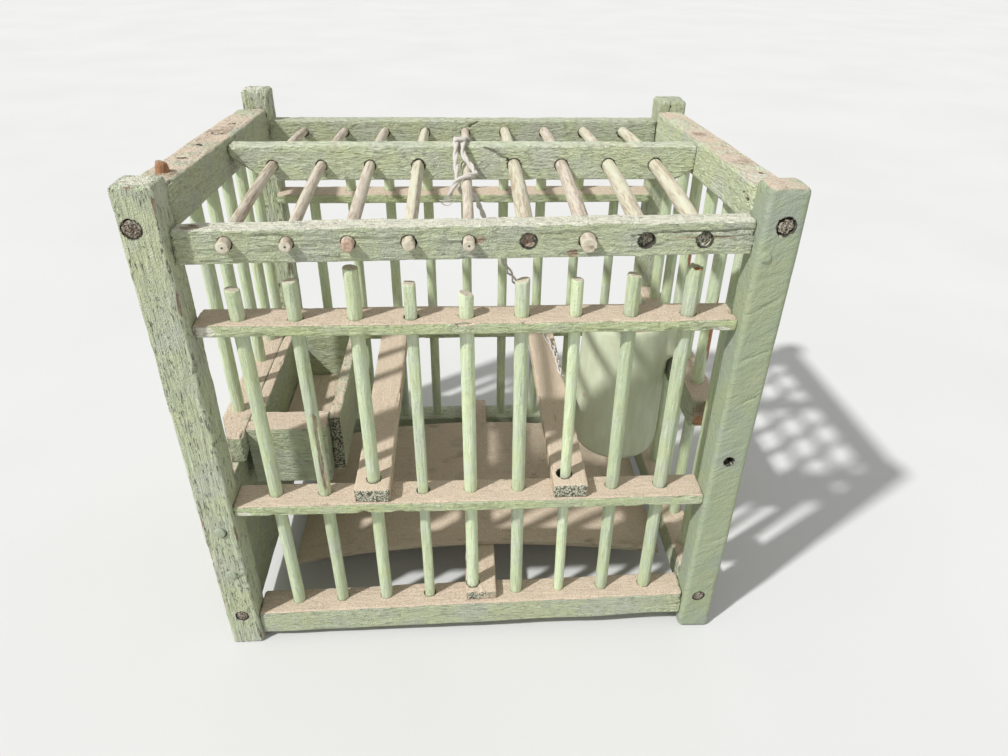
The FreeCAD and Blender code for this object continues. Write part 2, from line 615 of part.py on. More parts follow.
def perch(label, shift, front_hole):
    number = PERCH_BARS[label]
    bar_x = f"({BAR_STEPS[number - 1]} * {BAR_PITCH})"
    middle = f"({bar_x} + {shift})"
    x = (f"{middle} - sizes.perch_width / 2", f"{middle} + sizes.perch_width / 2")
    strip = block(label, x, perch_y, (LOWER_SLAT_TOP, PERCH_TOP))
    start = f"{LOWER_SLAT_TOP} - {CUT_MARGIN}"
    front_centre = (front_bar_x(number, PERCH_MIDDLE), minus(BAR_ROW_Y))
    back_centre = (bar_x, BAR_ROW_Y)
    drill(strip, "XY", [front_centre], front_hole, start, PERCH_DRILL)
    drill(strip, "XY", [back_centre], BAR_HOLE, start, PERCH_DRILL)


perch("left_perch", minus("sizes.perch_shift"), BAR_HOLE)
perch("right_perch", "sizes.perch_shift", "(sizes.perch_wide_hole / 2)")

# Centre strip on the bottom rails, threaded on the middle bars
strip_x = ("sizes.strip_shift - sizes.strip_width / 2", "sizes.strip_shift + sizes.strip_width / 2")
strip_y = (f"-{HALF_DEPTH} + sizes.strip_end_inset", f"{HALF_DEPTH} - sizes.strip_end_inset")
STRIP_TOP = f"({STRIP_BASE} + sizes.strip_thickness)"
centre_strip = block("centre_strip", strip_x, strip_y, (STRIP_BASE, STRIP_TOP))
MIDDLE_BAR = 5
strip_front_hole = (front_bar_x(MIDDLE_BAR, f"({STRIP_BASE} + sizes.strip_thickness / 2)"), minus(BAR_ROW_Y))
drill(centre_strip, "XY", [strip_front_hole, ("0", BAR_ROW_Y)], BAR_HOLE,
      f"{STRIP_BASE} - {CUT_MARGIN}", plus("sizes.strip_thickness", CUT_MARGIN, CUT_MARGIN))


# Floor board: thin, and bowed up over the centre strip
def bowed_floor(label):
    body = new_body(label)
    front = f"(-{HALF_DEPTH} + sizes.floor_front_gap)"
    back = f"({HALF_DEPTH} - sizes.floor_back_gap)"
    half_span = f"({INSIDE_X} - sizes.floor_end_gap)"
    sketch = sketch_on(body, "XZ", back)
    radius = f"(({half_span} ^ 2 + sizes.floor_bow ^ 2) / (2 * sizes.floor_bow))"
    outer = plus(radius, "sizes.floor_thickness")
    middle_z = f"({STRIP_TOP} + sizes.floor_clearance - {radius})"
    centre = FreeCAD.Vector(number_of("sizes.strip_shift"), number_of(middle_z), 0)
    ends = []
    for index, size in enumerate((radius, outer)):
        turn = math.asin(number_of(half_span) / number_of(size))
        circle = Part.Circle(centre, FreeCAD.Vector(0, 0, 1), number_of(size))
        arc = Part.ArcOfCircle(circle, math.pi / 2 - turn, math.pi / 2 + turn)
        sketch.addGeometry(arc, False)
        ends.append((arc.EndPoint, arc.StartPoint))
        limit = sketch.addConstraint(Sketcher.Constraint("Radius", index, number_of(size)))
        sketch.setExpression(f"Constraints[{limit}]", size)
    for side in (0, 1):
        sketch.addGeometry(Part.LineSegment(ends[0][side], ends[1][side]), False)
    hold(sketch, "DistanceX", 0, 3, "sizes.strip_shift")
    hold(sketch, "DistanceY", 0, 3, middle_z)
    sketch.addConstraint(Sketcher.Constraint("Coincident", 0, 3, 1, 3))
    for line, vertex, x in ((2, 2, f"sizes.strip_shift - {half_span}"),
                            (3, 1, f"sizes.strip_shift + {half_span}")):
        sketch.addConstraint(Sketcher.Constraint("Coincident", line, 1, 0, vertex))
        sketch.addConstraint(Sketcher.Constraint("Coincident", line, 2, 1, vertex))
        sketch.addConstraint(Sketcher.Constraint("Vertical", line))
        hold(sketch, "DistanceX", line, 1, x)
    pad_between(body, sketch, front, back)
    return add_node(body, label)


bowed_floor("floor_board")

# Seed trough: an open box of five boards, hung on the inner face of the left ledge
trough_left = minus(INSIDE_X)
trough_right = f"({trough_left} + sizes.trough_width)"
wall_left = f"({trough_left} + sizes.trough_wall)"
wall_right = f"({trough_right} - sizes.trough_wall)"
trough_front = f"(-{INSIDE_Y} + sizes.trough_front_gap)"
trough_back = f"({INSIDE_Y} - sizes.trough_back_gap)"
inner_front = f"({trough_front} + sizes.trough_block)"
inner_back = f"({trough_back} - sizes.trough_block)"
trough_base = "(sizes.ledge_top - sizes.trough_deep)"
trough_z = (trough_base, "sizes.ledge_top")
block("trough_front", (trough_left, wall_right), (trough_front, inner_front), trough_z)
block("trough_back", (trough_left, wall_right), (inner_back, trough_back), trough_z)
block("trough_outer_side", (trough_left, wall_left), (inner_front, inner_back), trough_z)
block("trough_inner_side", (wall_right, trough_right),
      (f"{trough_front} + sizes.trough_wall_lap", trough_back), trough_z)
block("trough_bottom", (wall_left, wall_right), (inner_front, inner_back),
      (trough_base, f"{trough_base} + sizes.trough_wall"))

# Feeder cup: a turned vessel with a rounded foot, hooked over the right middle rail by its lip
cup_x = f"({INSIDE_X} - sizes.cup_gap - sizes.cup_radius)"
CUP_FOOT = "(sizes.cup_mouth - sizes.cup_tall)"
CUP_FLOOR = f"({CUP_FOOT} + sizes.cup_wall)"
feeder_cup = new_body("feeder_cup")


def cup_profile(corners):
    """A sketch through the cup's axis: each corner is a radius and a height."""
    sketch = sketch_on(feeder_cup, "XZ", "sizes.cup_place")
    sketch.setExpression("AttachmentOffset.Base.x", cup_x)
    close_outline(sketch, corners)
    return sketch


def turned(kind, corners):
    """Turn a profile about the cup's axis, to add to the cup or to hollow it."""
    sketch = cup_profile(corners)
    feature = feeder_cup.newObject(kind, "cup_turning")
    feature.Profile = sketch
    feature.ReferenceAxis = (sketch, ["V_Axis"])
    feature.Angle = 360
    doc.recompute()
    return feature


def round_edge_at(height, radius):
    """Round the widest circular edge of the cup at a height."""
    turning = feeder_cup.Tip
    level = number_of(height)
    circles = [
        (edge.Curve.Radius, f"Edge{index}")
        for index, edge in enumerate(turning.Shape.Edges, start=1)
        if edge.Curve.TypeId == "Part::GeomCircle" and abs(edge.Curve.Center.z - level) < SAME_LEVEL
    ]
    fillet = feeder_cup.newObject("PartDesign::Fillet", "cup_round")
    fillet.Base = (turning, [max(circles)[1]])
    fillet.setExpression("Radius", radius)
    doc.recompute()


turned("PartDesign::Revolution", [
    ("0", CUP_FOOT),
    ("sizes.cup_radius", CUP_FOOT),
    ("sizes.cup_mouth_radius", "sizes.cup_mouth"),
    ("0", "sizes.cup_mouth"),
])
round_edge_at(CUP_FOOT, "sizes.cup_bottom_round")

hook_under = f"({SIDE_MID_TOP} + sizes.hook_clearance)"
hook_top = f"({hook_under} + sizes.hook_thickness)"
hook_end = f"({INSIDE_X} + sizes.hook_reach)"
hook_inner = f"({cup_x} + sizes.cup_mouth_radius - sizes.cup_wall / 2)"
hook_near = f"({INSIDE_X} - sizes.hook_side_gap)"
hook_sketch = sketch_on(feeder_cup, "XZ", "sizes.cup_place + sizes.hook_width / 2")
close_outline(hook_sketch, [
    (hook_inner, "sizes.cup_mouth"),
    (hook_inner, "sizes.cup_mouth - sizes.hook_root"),
    (hook_near, f"{SIDE_MID_TOP} - sizes.hook_shoulder"),
    (hook_near, hook_under),
    (hook_end, hook_under),
    (hook_end, hook_top),
    (f"{INSIDE_X} + sizes.hook_thickness", f"{hook_top} + sizes.hook_shoulder / 2"),
    (f"{hook_inner} + sizes.hook_shoulder", "sizes.cup_mouth"),
])
pad_between(feeder_cup, hook_sketch, "sizes.cup_place - sizes.hook_width / 2",
            "(sizes.cup_place + sizes.hook_width / 2)")
turned("PartDesign::Groove", [
    ("0", CUP_FLOOR),
    ("sizes.cup_radius - sizes.cup_wall", CUP_FLOOR),
    ("sizes.cup_mouth_radius - sizes.cup_wall", "sizes.cup_mouth"),
    ("0", "sizes.cup_mouth"),
])
round_edge_at(CUP_FLOOR, "sizes.cup_hollow_round")
add_node(feeder_cup, "feeder_cup")


# Pegs hold the side rails through the posts, and nails hold the side board
def peg(side_x, side_y, height, radius, place=POST_MIDDLE_X):
    x = place if side_x > 0 else minus(place)
    start = minus(HALF_DEPTH) if side_y < 0 else f"{INSIDE_Y} - sizes.peg_depth"
    length = plus("sizes.post_size", "sizes.peg_depth")
    return dowel(f"peg_{len(doc.Objects)}", radius, x, start, height, length, along="Y")


RAIL_PEG_RADIUS = "(sizes.rail_peg_diameter / 2)"
SIDE_PEG_RADIUS = "(sizes.side_peg_diameter / 2)"
group("rail_pegs", [
    peg(side_x, side_y, RAIL_PEG_HEIGHT if side_y < 0 else BACK_PEG_HEIGHT, RAIL_PEG_RADIUS, RAIL_PEG_X)
    for side_x in (-1, 1)
    for side_y in (-1, 1)
])
side_pegs = [peg(-1, side_y, "sizes.left_peg_height", SIDE_PEG_RADIUS) for side_y in (-1, 1)]
side_pegs += [peg(1, side_y, LOW_PEG_HEIGHT, SIDE_PEG_RADIUS) for side_y in (-1, 1)]
side_pegs.append(peg(1, 1, MID_PEG_HEIGHT, SIDE_PEG_RADIUS))
group("side_pegs", side_pegs)


def nail(side_y, height):
    """A flat round head on the post's face and a shank into the side board's end."""
    x = minus(POST_MIDDLE_X)
    head_start = f"-{HALF_DEPTH} - sizes.nail_head_thickness" if side_y < 0 else HALF_DEPTH
    shank_start = minus(HALF_DEPTH) if side_y < 0 else f"{HALF_DEPTH} - sizes.nail_length"
    head = dowel(f"nail_head_{len(doc.Objects)}", "sizes.nail_head_diameter / 2", x, head_start, height,
                 "sizes.nail_head_thickness", along="Y")
    shank = dowel(f"nail_shank_{len(doc.Objects)}", "sizes.nail_shank_diameter / 2", x, shank_start, height,
                  "sizes.nail_length", along="Y")
    whole = doc.addObject("Part::Fuse", f"nail_{len(doc.Objects)}")
    whole.Base = head
    whole.Tool = shank
    return whole


group("nails", [nail(side_y, nail_height) for side_y in (-1, 1) for nail_height in NAIL_HEIGHTS])

# String: lashes the fifth rod to the middle rail, then drops slack on to the right perch
STRING_TURNS = [
    (-8.6, -32.6, 230.6),
    (-7.4, -32.2, 235.4),
    (-4.2, -31.4, 240.2),
    (0.6, -30.2, 242.0),
    (4.6, -27.6, 241.4),
    (3.4, -21.0, 244.0),
    (1.0, -14.0, 246.4),
    (-1.0, -8.0, 249.4),
    (-0.6, -3.0, 252.9),
    (1.4, 4.0, 253.2),
    (4.6, 10.2, 252.0),
    (5.4, 10.6, 241.0),
    (4.0, 10.6, 230.6),
    (-4.0, 10.6, 230.4),
    (-5.6, 10.6, 241.0),
    (-5.6, 10.2, 252.0),
    (-5.2, 4.0, 253.2),
    (-5.1, -3.0, 252.9),
    (-5.4, -12.0, 248.0),
    (-5.4, -22.0, 243.0),
    (-5.4, -26.4, 238.4),
    (-4.4, -26.8, 231.0),
    (1.4, -25.4, 229.4),
    (4.0, -20.0, 229.4),
]
STRING_DROP = [
    (5.8, -12.0, 223.6),
    (8.4, -4.0, 215.4),
    (13.6, 6.4, 199.0),
    (20.0, 16.0, 180.8),
    (29.6, 25.6, 160.8),
    (40.6, 40.4, 132.0),
    (49.0, 47.6, 115.6),
    (54.0, 44.6, 109.4),
    (56.2, 36.0, 108.6),
    (56.8, 25.0, 108.9),
    (55.6, 12.0, 108.6),
]
RADIUS_SHARE = 0.45


def rounded_route(points):
    """Straight runs joined by tangent arcs, each arc as large as its shorter run allows."""
    corners = [FreeCAD.Vector(*point) for point in points]
    edges = []
    radii = []
    start = corners[0]
    for before, corner, after in zip(corners, corners[1:], corners[2:]):
        back = (before - corner).normalize()
        ahead = (after - corner).normalize()
        turn = math.pi - back.getAngle(ahead)
        reach = RADIUS_SHARE * min((before - corner).Length, (after - corner).Length)
        radius = reach / math.tan(turn / 2)
        enter = corner + back * reach
        leave = corner + ahead * reach
        middle_line = (back + ahead).normalize()
        middle = corner + middle_line * (radius / math.cos(turn / 2) - radius)
        edges.append(Part.LineSegment(start, enter).toShape())
        edges.append(Part.Arc(enter, middle, leave).toShape())
        radii.append(radius)
        start = leave
    edges.append(Part.LineSegment(start, corners[-1]).toShape())
    return Part.Wire(edges), radii


def least_gap(wire, diameter, skip):
    """The least gap of a tube to itself, on points that lie more than skip apart along it."""
    spacing = diameter / 2
    points = wire.discretize(Distance=spacing)
    apart = int(skip / spacing)
    pairs = (
        (first - second).Length
        for index, first in enumerate(points)
        for second in points[index + apart:]
    )
    return min(pairs) - diameter


def tube(label, points):
    """One unbroken round tube along a rounded route."""
    diameter = number_of("sizes.string_diameter")
    wire, radii = rounded_route(points)
    first = wire.Edges[0]
    heading = first.tangentAt(first.FirstParameter)
    ring = Part.Wire([Part.Circle(FreeCAD.Vector(*points[0]), heading, diameter / 2).toShape()])
    solid = wire.makePipeShell([ring], True, False)
    piece = doc.addObject("Part::Feature", label)
    piece.Shape = solid
    plain_volume = math.pi * diameter ** 2 / 4 * wire.Length
    print(label, "length", round(wire.Length, 1), "radii", [round(radius, 1) for radius in radii])
    print(label, "volume over section times length", round(piece.Shape.Volume / plain_volume, 4))
    print(label, "least gap to itself", round(least_gap(wire, diameter, 8 * diameter), 2))
    return add_node(piece, label)


tube("string", STRING_TURNS + STRING_DROP)

# Every feature must have worked before anything is written
doc.recompute()
for item in doc.Objects:
    if "Invalid" in item.State or "Error" in item.State:
        raise RuntimeError(f"{item.Label} failed: {item.State}")
for before, after in drilled:
    if after.Shape.Volume >= before.Shape.Volume:
        raise RuntimeError(f"{after.Label} cut nothing")
for node in nodes:
    if node.Shape.isNull() or not node.Shape.isValid():
        raise RuntimeError(f"{node.Label} has no valid shape")

os.makedirs("parts", exist_ok=True)
for node in nodes:
    node.Shape.exportStep(os.path.join("parts", node.Label + ".step"))
print(len(nodes), "nodes written")
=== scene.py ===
# %% [markdown]
# # A folk-made wooden canary cage
# The cage is made of whittled sticks and small boards, painted sage green a long time ago. Every piece is
# a stick or a board, so two surface functions make most of it, and the paint, dust and wear do the rest.
# The packed frame is loaded first: it says where each piece is and which body it moves with.

# %% Load the frame
import itertools
import math

import bpy
import numpy as np
from mathutils import Matrix, Vector


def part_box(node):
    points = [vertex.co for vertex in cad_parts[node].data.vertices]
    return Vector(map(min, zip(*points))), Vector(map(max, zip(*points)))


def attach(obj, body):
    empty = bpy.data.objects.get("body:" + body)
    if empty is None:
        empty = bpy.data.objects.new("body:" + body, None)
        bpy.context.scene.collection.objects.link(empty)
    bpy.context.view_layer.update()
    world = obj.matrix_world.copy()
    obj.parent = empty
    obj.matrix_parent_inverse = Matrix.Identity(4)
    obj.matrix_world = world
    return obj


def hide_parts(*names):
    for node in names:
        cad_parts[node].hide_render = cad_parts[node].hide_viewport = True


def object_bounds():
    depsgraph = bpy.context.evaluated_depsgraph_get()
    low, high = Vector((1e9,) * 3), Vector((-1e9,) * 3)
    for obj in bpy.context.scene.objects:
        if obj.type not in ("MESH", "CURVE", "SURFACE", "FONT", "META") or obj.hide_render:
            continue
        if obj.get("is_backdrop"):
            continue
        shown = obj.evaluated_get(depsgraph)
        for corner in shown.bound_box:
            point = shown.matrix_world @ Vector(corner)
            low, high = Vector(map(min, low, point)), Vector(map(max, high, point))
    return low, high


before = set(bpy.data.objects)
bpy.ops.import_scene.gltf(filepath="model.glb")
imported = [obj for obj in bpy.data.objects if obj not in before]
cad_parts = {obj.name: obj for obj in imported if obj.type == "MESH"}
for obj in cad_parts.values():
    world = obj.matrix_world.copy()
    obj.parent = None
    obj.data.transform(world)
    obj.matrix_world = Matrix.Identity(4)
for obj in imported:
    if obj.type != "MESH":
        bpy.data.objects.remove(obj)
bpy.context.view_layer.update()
MM = 0.001
print("frame loaded with", len(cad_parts), "nodes")

# %% [markdown]
# ## Camera
# A camera can be aimed with a constraint, but here the viewpoint is known as a place, three turns and a
# focal length in pixels, so its matrix is written out. The columns are right, up and backwards.

# %% Camera
PICTURE_WIDTH = 1008
FOCAL_PIXELS = 727.2
SENSOR_WIDTH = 36.0
CAMERA_PLACE = (-0.002587, -0.376065, 0.348069)
YAW, PITCH, ROLL = 0.0633, 0.5635, 0.0166


def camera_matrix():
    """Forward comes from yaw and pitch, right is level, up is their product, and roll turns both."""
    forward = np.array([math.sin(YAW) * math.cos(PITCH), math.cos(YAW) * math.cos(PITCH), -math.sin(PITCH)])
    level = np.array([math.cos(YAW), -math.sin(YAW), 0.0])
    rise = np.cross(level, forward)
    right = math.cos(ROLL) * level + math.sin(ROLL) * rise
    up = math.cos(ROLL) * rise - math.sin(ROLL) * level
    columns = np.eye(4)
    columns[:3, :] = np.stack([right, up, -forward, np.array(CAMERA_PLACE)], axis=1)
    return Matrix(columns.tolist())


scene = bpy.context.scene
lens = bpy.data.cameras.new("camera")
lens.sensor_width = SENSOR_WIDTH
lens.lens = FOCAL_PIXELS / PICTURE_WIDTH * SENSOR_WIDTH
lens.clip_start = 0.01
camera = bpy.data.objects.new("camera", lens)
camera.matrix_world = camera_matrix()
scene.collection.objects.link(camera)
scene.camera = camera
print("camera lens", round(lens.lens, 2), "mm")

# %% [markdown]
# ## Noise
# Hand-made and weathered wood has no straight line in it. Blender's noise nodes can shift a surface, but
# here the shift has to follow the grain of each piece, so the noise is worked out in numpy.

# %% Noise on whole arrays
def lattice_value(cells, seed):
    """A repeatable random number from 0 to 1 for each whole-number cell, mixed from its three indices."""
    mixed = (cells[..., 0] * 73856093) ^ (cells[..., 1] * 19349663) ^ (cells[..., 2] * 83492791)
    mixed = (mixed ^ (seed * 374761393)) & 0x7FFFFFFF
    mixed = ((mixed ^ (mixed >> 13)) * 1274126177) & 0x7FFFFFFF
    return ((mixed ^ (mixed >> 16)) & 0xFFFF) / 65535.0


def noise(points, seed):
    """Each point blends the random values of the eight cell corners round it, by smoothed distances."""
    base = np.floor(points).astype(np.int64)
    part = points - base
    part = part * part * (3 - 2 * part)
    total = np.zeros(points.shape[:-1])
    for corner in itertools.product((0, 1), repeat=3):
        share = np.where(np.array(corner) == 1, part, 1 - part).prod(axis=-1)
        total += share * lattice_value(base + np.array(corner), seed)
    return total


def rough_noise(points, seed, layers=3):
    """Several layers of noise, each twice as fine and half as strong, brought to about -1 to 1."""
    total = np.zeros(points.shape[:-1])
    for layer in range(layers):
        total += (noise(points * 2.0 ** layer, seed + layer) - 0.5) * 0.5 ** layer
    return total * 2 / 1.5


def ease(values, low, high):
    """0 below low, 1 above high, and a smooth step between."""
    part = np.clip((values - low) / (high - low), 0, 1)
    return part * part * (3 - 2 * part)


print("noise sample", np.round(rough_noise(np.linspace(0, 3, 12).reshape(4, 3), 1), 2))

# %% [markdown]
# ## Skins
# A board or a stick is one closed skin: rings of points, one after another along the piece, and a single
# point at each end. The rings are a grid, so all the faces come from index arithmetic.

# %% Skins and pieces
def skin(rings):
    """Join rings[u, v] to a closed skin: a fan at the first point, quads between rings, a fan at the last."""
    count, around = rings.shape[:2]
    points = np.concatenate([rings[0, :1], rings[1:-1].reshape(-1, 3), rings[-1, :1]])
    index = 1 + np.arange((count - 2) * around).reshape(count - 2, around)
    ahead = np.roll(index, -1, axis=1)
    quads = np.stack([index[:-1], ahead[:-1], ahead[1:], index[1:]], -1).reshape(-1, 4)
    first = np.stack([np.zeros(around, int), ahead[0], index[0]], -1)
    last = np.stack([np.full(around, len(points) - 1), index[-1], ahead[-1]], -1)
    return points, quads, np.concatenate([first, last])


def join(skins):
    """Several skins as one, with the later indices moved up."""
    starts = np.cumsum([0] + [len(points) for points, quads, fans in skins[:-1]])
    return (np.concatenate([points for points, quads, fans in skins]),
            np.concatenate([quads + start for (points, quads, fans), start in zip(skins, starts)]),
            np.concatenate([fans + start for (points, quads, fans), start in zip(skins, starts)]))


def volume_sign(points, quads):
    """Add up the signed volumes of the quads seen from the middle: negative means inside out."""
    a, b, c, d = (points[quads[:, k]] - points.mean(axis=0) for k in range(4))
    return np.einsum("ij,ij->", np.cross(a, b), c) + np.einsum("ij,ij->", np.cross(a, c), d)


def mesh_of(name, points, quads, fans):
    """Put the arrays into a mesh in one go, and turn it if its faces point inwards."""
    mesh = bpy.data.meshes.new(name)
    corners = np.concatenate([quads.ravel(), fans.ravel()])
    starts = np.concatenate([np.arange(len(quads)) * 4, len(quads) * 4 + np.arange(len(fans)) * 3])
    mesh.vertices.add(len(points))
    mesh.vertices.foreach_set("co", points.astype(np.float32).ravel())
    mesh.loops.add(len(corners))
    mesh.loops.foreach_set("vertex_index", corners.astype(np.int32))
    mesh.polygons.add(len(starts))
    mesh.polygons.foreach_set("loop_start", starts.astype(np.int32))
    mesh.update(calc_edges=True)
    mesh.validate()
    if volume_sign(points, quads) < 0:
        mesh.flip_normals()
    return mesh


def piece(name, body, finish, nodes, parts):
    """One object at the origin: made from skins, riding on a body, standing for its nodes."""
    obj = bpy.data.objects.new(name, mesh_of(name, *join(parts)))
    scene.collection.objects.link(obj)
    obj.data.materials.append(finish)
    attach(obj, body)
    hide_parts(*nodes)
    return obj


def vertices(obj):
    """The places and the outward directions of all the vertices, as arrays."""
    count = len(obj.data.vertices)
    places = np.empty(count * 3, np.float32)
    obj.data.vertices.foreach_get("co", places)
    outward = np.empty(count * 3, np.float32)
    obj.data.vertex_normals.foreach_get("vector", outward)
    return places.reshape(-1, 3).astype(float), outward.reshape(-1, 3).astype(float)


SHARP_BEND = math.radians(52)


def settle(obj, **masks):
    """Shade smooth apart from sharp bends, and store the masks that the finish reads."""
    obj.data.polygons.foreach_set("use_smooth", np.ones(len(obj.data.polygons), bool))
    obj.data.set_sharp_from_angle(angle=SHARP_BEND)
    for name, values in masks.items():
        layer = obj.data.attributes.new(name, "FLOAT", "POINT")
        layer.data.foreach_set("value", np.clip(values, 0, 1).astype(np.float32))


print("a skin of 4 rings of 6 has", len(skin(np.zeros((4, 6, 3)))[0]), "points")

# %% [markdown]
# ## Paint and wood finishes
# The old paint is chalky and lies in ridges along the grain. It is worn to bare wood on edges, and fine
# tan dust lies on every face that looks up. A painted picture could show this, but nodes stay sharp at
# any distance. Masks on each piece say where it is dusty, bare, raw, bleached, grimy or freshly broken,
# where painted shade darkens holes, cracks, pits and the nails' shadows, and where a painted highlight
# pales ridge crests, edges and tops. The nodes break those masks up with noise stretched along the grain.

# %% A bench for wiring a finish
DULL_SHINE = 0.25


class Finish:
    """A material with short calls for the few kinds of node that the finishes use."""

    def __init__(self, name):
        """Start from the plain surface shader, with little shine."""
        self.material = bpy.data.materials.new(name)
        self.material.use_nodes = True
        self.tree = self.material.node_tree
        self.shader = self.tree.nodes["Principled BSDF"]
        self.shader.inputs["Specular IOR Level"].default_value = DULL_SHINE
        self.places = self.add("ShaderNodeTexCoord").outputs["Object"]

    def add(self, kind, settings=None, **inputs):
        """A new node. A socket is linked to its input, a plain value is written, and _0 is the first input."""
        node = self.tree.nodes.new(kind)
        for name, value in (settings or {}).items():
            setattr(node, name, value)
        for name, value in inputs.items():
            socket = node.inputs[int(name[1:])] if name[0] == "_" else node.inputs[name]
            if isinstance(value, bpy.types.NodeSocket):
                self.tree.links.new(value, socket)
            else:
                socket.default_value = value
        return node

    def stretched(self, scale):
        """Places times a scale for each axis: a small scale makes a pattern long on it."""
        return self.add("ShaderNodeMapping", Vector=self.places, Scale=scale).outputs[0]

    def slanted(self, longer, slope):
        """Stretch a pattern along a line in the XZ plane: a texture mapping turns first, and divides by its
        scale last."""
        return self.add("ShaderNodeMapping", {"vector_type": "TEXTURE"}, Vector=self.places,
                        Scale=(longer, 1.0, 1.0), Rotation=(0.0, -slope, 0.0)).outputs[0]

    def noise(self, where, scale, detail=3.0, coarse=0.55, bend=0.0):
        """Layers of noise from 0 to 1. Coarse is the strength of the finer layers, and bend warps them."""
        return self.add("ShaderNodeTexNoise", Vector=where, Scale=scale, Detail=detail, Roughness=coarse,
                        Distortion=bend).outputs[0]

    def math(self, operation, one, two=0.0):
        """One operation on two values."""
        return self.add("ShaderNodeMath", {"operation": operation}, _0=one, _1=two).outputs[0]

    def smooth(self, value, low, high):
        """0 at low, 1 at high and a smooth step between; low may be the larger."""
        node = self.add("ShaderNodeMapRange", {"interpolation_type": "SMOOTHSTEP"}, Value=value)
        node.inputs["From Min"].default_value = low
        node.inputs["From Max"].default_value = high
        return node.outputs[0]

    def ramp(self, value, *stops):
        """A colour for each value, blended evenly between the stops."""
        node = self.add("ShaderNodeValToRGB", _0=value)
        while len(node.color_ramp.elements) < len(stops):
            node.color_ramp.elements.new(0.5)
        for element, (place, colour) in zip(node.color_ramp.elements, stops):
            element.position = place
            element.color = (*colour, 1.0)
        return node.outputs[0]

    def blend(self, share, one, two):
        """The first colour where share is 0, and the second where it is 1."""
        node = self.add("ShaderNodeMix", {"data_type": "RGBA"}, _0=share)
        for socket, value in ((node.inputs[6], one), (node.inputs[7], two)):
            if isinstance(value, bpy.types.NodeSocket):
                self.tree.links.new(value, socket)
            else:
                socket.default_value = (*value, 1.0)
        return node.outputs[2]

    def mask(self, name):
        """A mask that was stored on the piece, point by point."""
        return self.add("ShaderNodeAttribute", {"attribute_name": name}).outputs["Fac"]

    def broken(self, mask, by, amount, low, high):
        """A mask broken up by a noise: add the noise round its middle, then sharpen."""
        shifted = self.math("MULTIPLY_ADD", by, amount)
        shifted.node.inputs[2].default_value = -0.5 * amount
        return self.smooth(self.math("ADD", self.mask(mask), shifted), low, high)

    def sawn(self, shown):
        """Rough sawn end grain where the mask says: close dark pores with pale flecks between them."""
        pores = self.add("ShaderNodeTexVoronoi", Vector=self.places, Scale=1100.0).outputs["Distance"]
        fleck = self.noise(self.places, 1000.0, 3.0, 0.7)
        grain = self.ramp(self.math("ADD", self.math("MULTIPLY", pores, -0.6), fleck), (0.08, (0.090, 0.085, 0.064)),
                          (0.22, (0.340, 0.335, 0.245)), (0.40, (0.620, 0.615, 0.490)))
        return self.blend(self.broken("ends", fleck, 0.5, 0.35, 0.60), shown, grain)

    def worn(self, shown, patch, raw, fresh):
        """Raw wood, fresh breaks and sawn ends over what is shown, each where its own mask says."""
        shown = self.blend(self.broken("raw", patch, 0.4, 0.30, 0.55), shown, raw)
        return self.sawn(self.blend(self.broken("fresh", patch, 0.6, 0.30, 0.75), shown, fresh))

    def grimed_and_shaded(self, shown, patch):
        """Grime and painted shade over what is shown, nearly solid where its mask is full."""
        share = self.math("MULTIPLY", self.broken("grime", patch, 0.6, 0.25, 0.75), 0.92)
        return self.blend(share, shown, GRIME_AND_SHADE)

    def relief(self, height, distance, strength):
        """Tilt the shading as if the surface had this height."""
        bump = self.add("ShaderNodeBump", Height=height, Distance=distance, Strength=strength)
        self.tree.links.new(bump.outputs[0], self.shader.inputs["Normal"])

    def colour(self, socket):
        """Use this as the surface's colour."""
        self.tree.links.new(socket, self.shader.inputs["Base Color"])

    def roughness(self, value, low, high):
        """Rougher where the value is high: it runs evenly from low to high."""
        node = self.add("ShaderNodeMapRange", Value=value)
        node.inputs["To Min"].default_value = low
        node.inputs["To Max"].default_value = high
        self.tree.links.new(node.outputs[0], self.shader.inputs["Roughness"])


print("a finish can be", [call for call in vars(Finish) if not call.startswith("_")])

# %% Colours, and how far patterns are stretched
SAGE = (0.525, 0.575, 0.395)
DEEP_SAGE_AND_SHADE = (0.425, 0.470, 0.308)
CHALK_AND_HIGHLIGHT = (0.640, 0.680, 0.520)
BLEACHED_AND_HIGHLIGHT = (0.790, 0.785, 0.640)
YELLOW_SAGE = (0.545, 0.580, 0.365)
GREY_SAGE = (0.520, 0.545, 0.430)
GROOVE = (0.120, 0.125, 0.085)
WOOD_PALE = (0.520, 0.425, 0.305)
WOOD_DARK = (0.250, 0.180, 0.115)
RAW_PALE = (0.670, 0.625, 0.500)
RAW_DARK = (0.500, 0.435, 0.320)
ORANGE_PALE = (0.450, 0.250, 0.130)
ORANGE_DARK = (0.270, 0.130, 0.065)
DUST_PALE = (0.660, 0.560, 0.450)
DUST = (0.570, 0.462, 0.350)
DUST_DARK = (0.420, 0.330, 0.240)
# Dark colour for grime, and for painted shade in holes, cracks, pits and the nails' shadows.
GRIME_AND_SHADE = (0.050, 0.043, 0.032)
GRAIN_SCALE = {"X": (0.10, 1.0, 1.0), "Y": (1.0, 0.10, 1.0), "Z": (1.0, 1.0, 0.10)}
FLAKE_SCALE = {"X": (0.30, 1.0, 1.0), "Y": (1.0, 0.30, 1.0), "Z": (1.0, 1.0, 0.24),
               "shreds": (1.0, 1.0, 0.09)}
CRACK_SCALE = {"X": (0.12, 1.0, 1.0), "Y": (1.0, 0.12, 1.0), "Z": (1.0, 1.0, 0.07)}

print("stretch along the grain", GRAIN_SCALE)


# %% Old paint
def toned(colour, tint):
    """A colour times one number, or times three numbers for red, green and blue."""
    return tuple(np.array(colour) * tint)


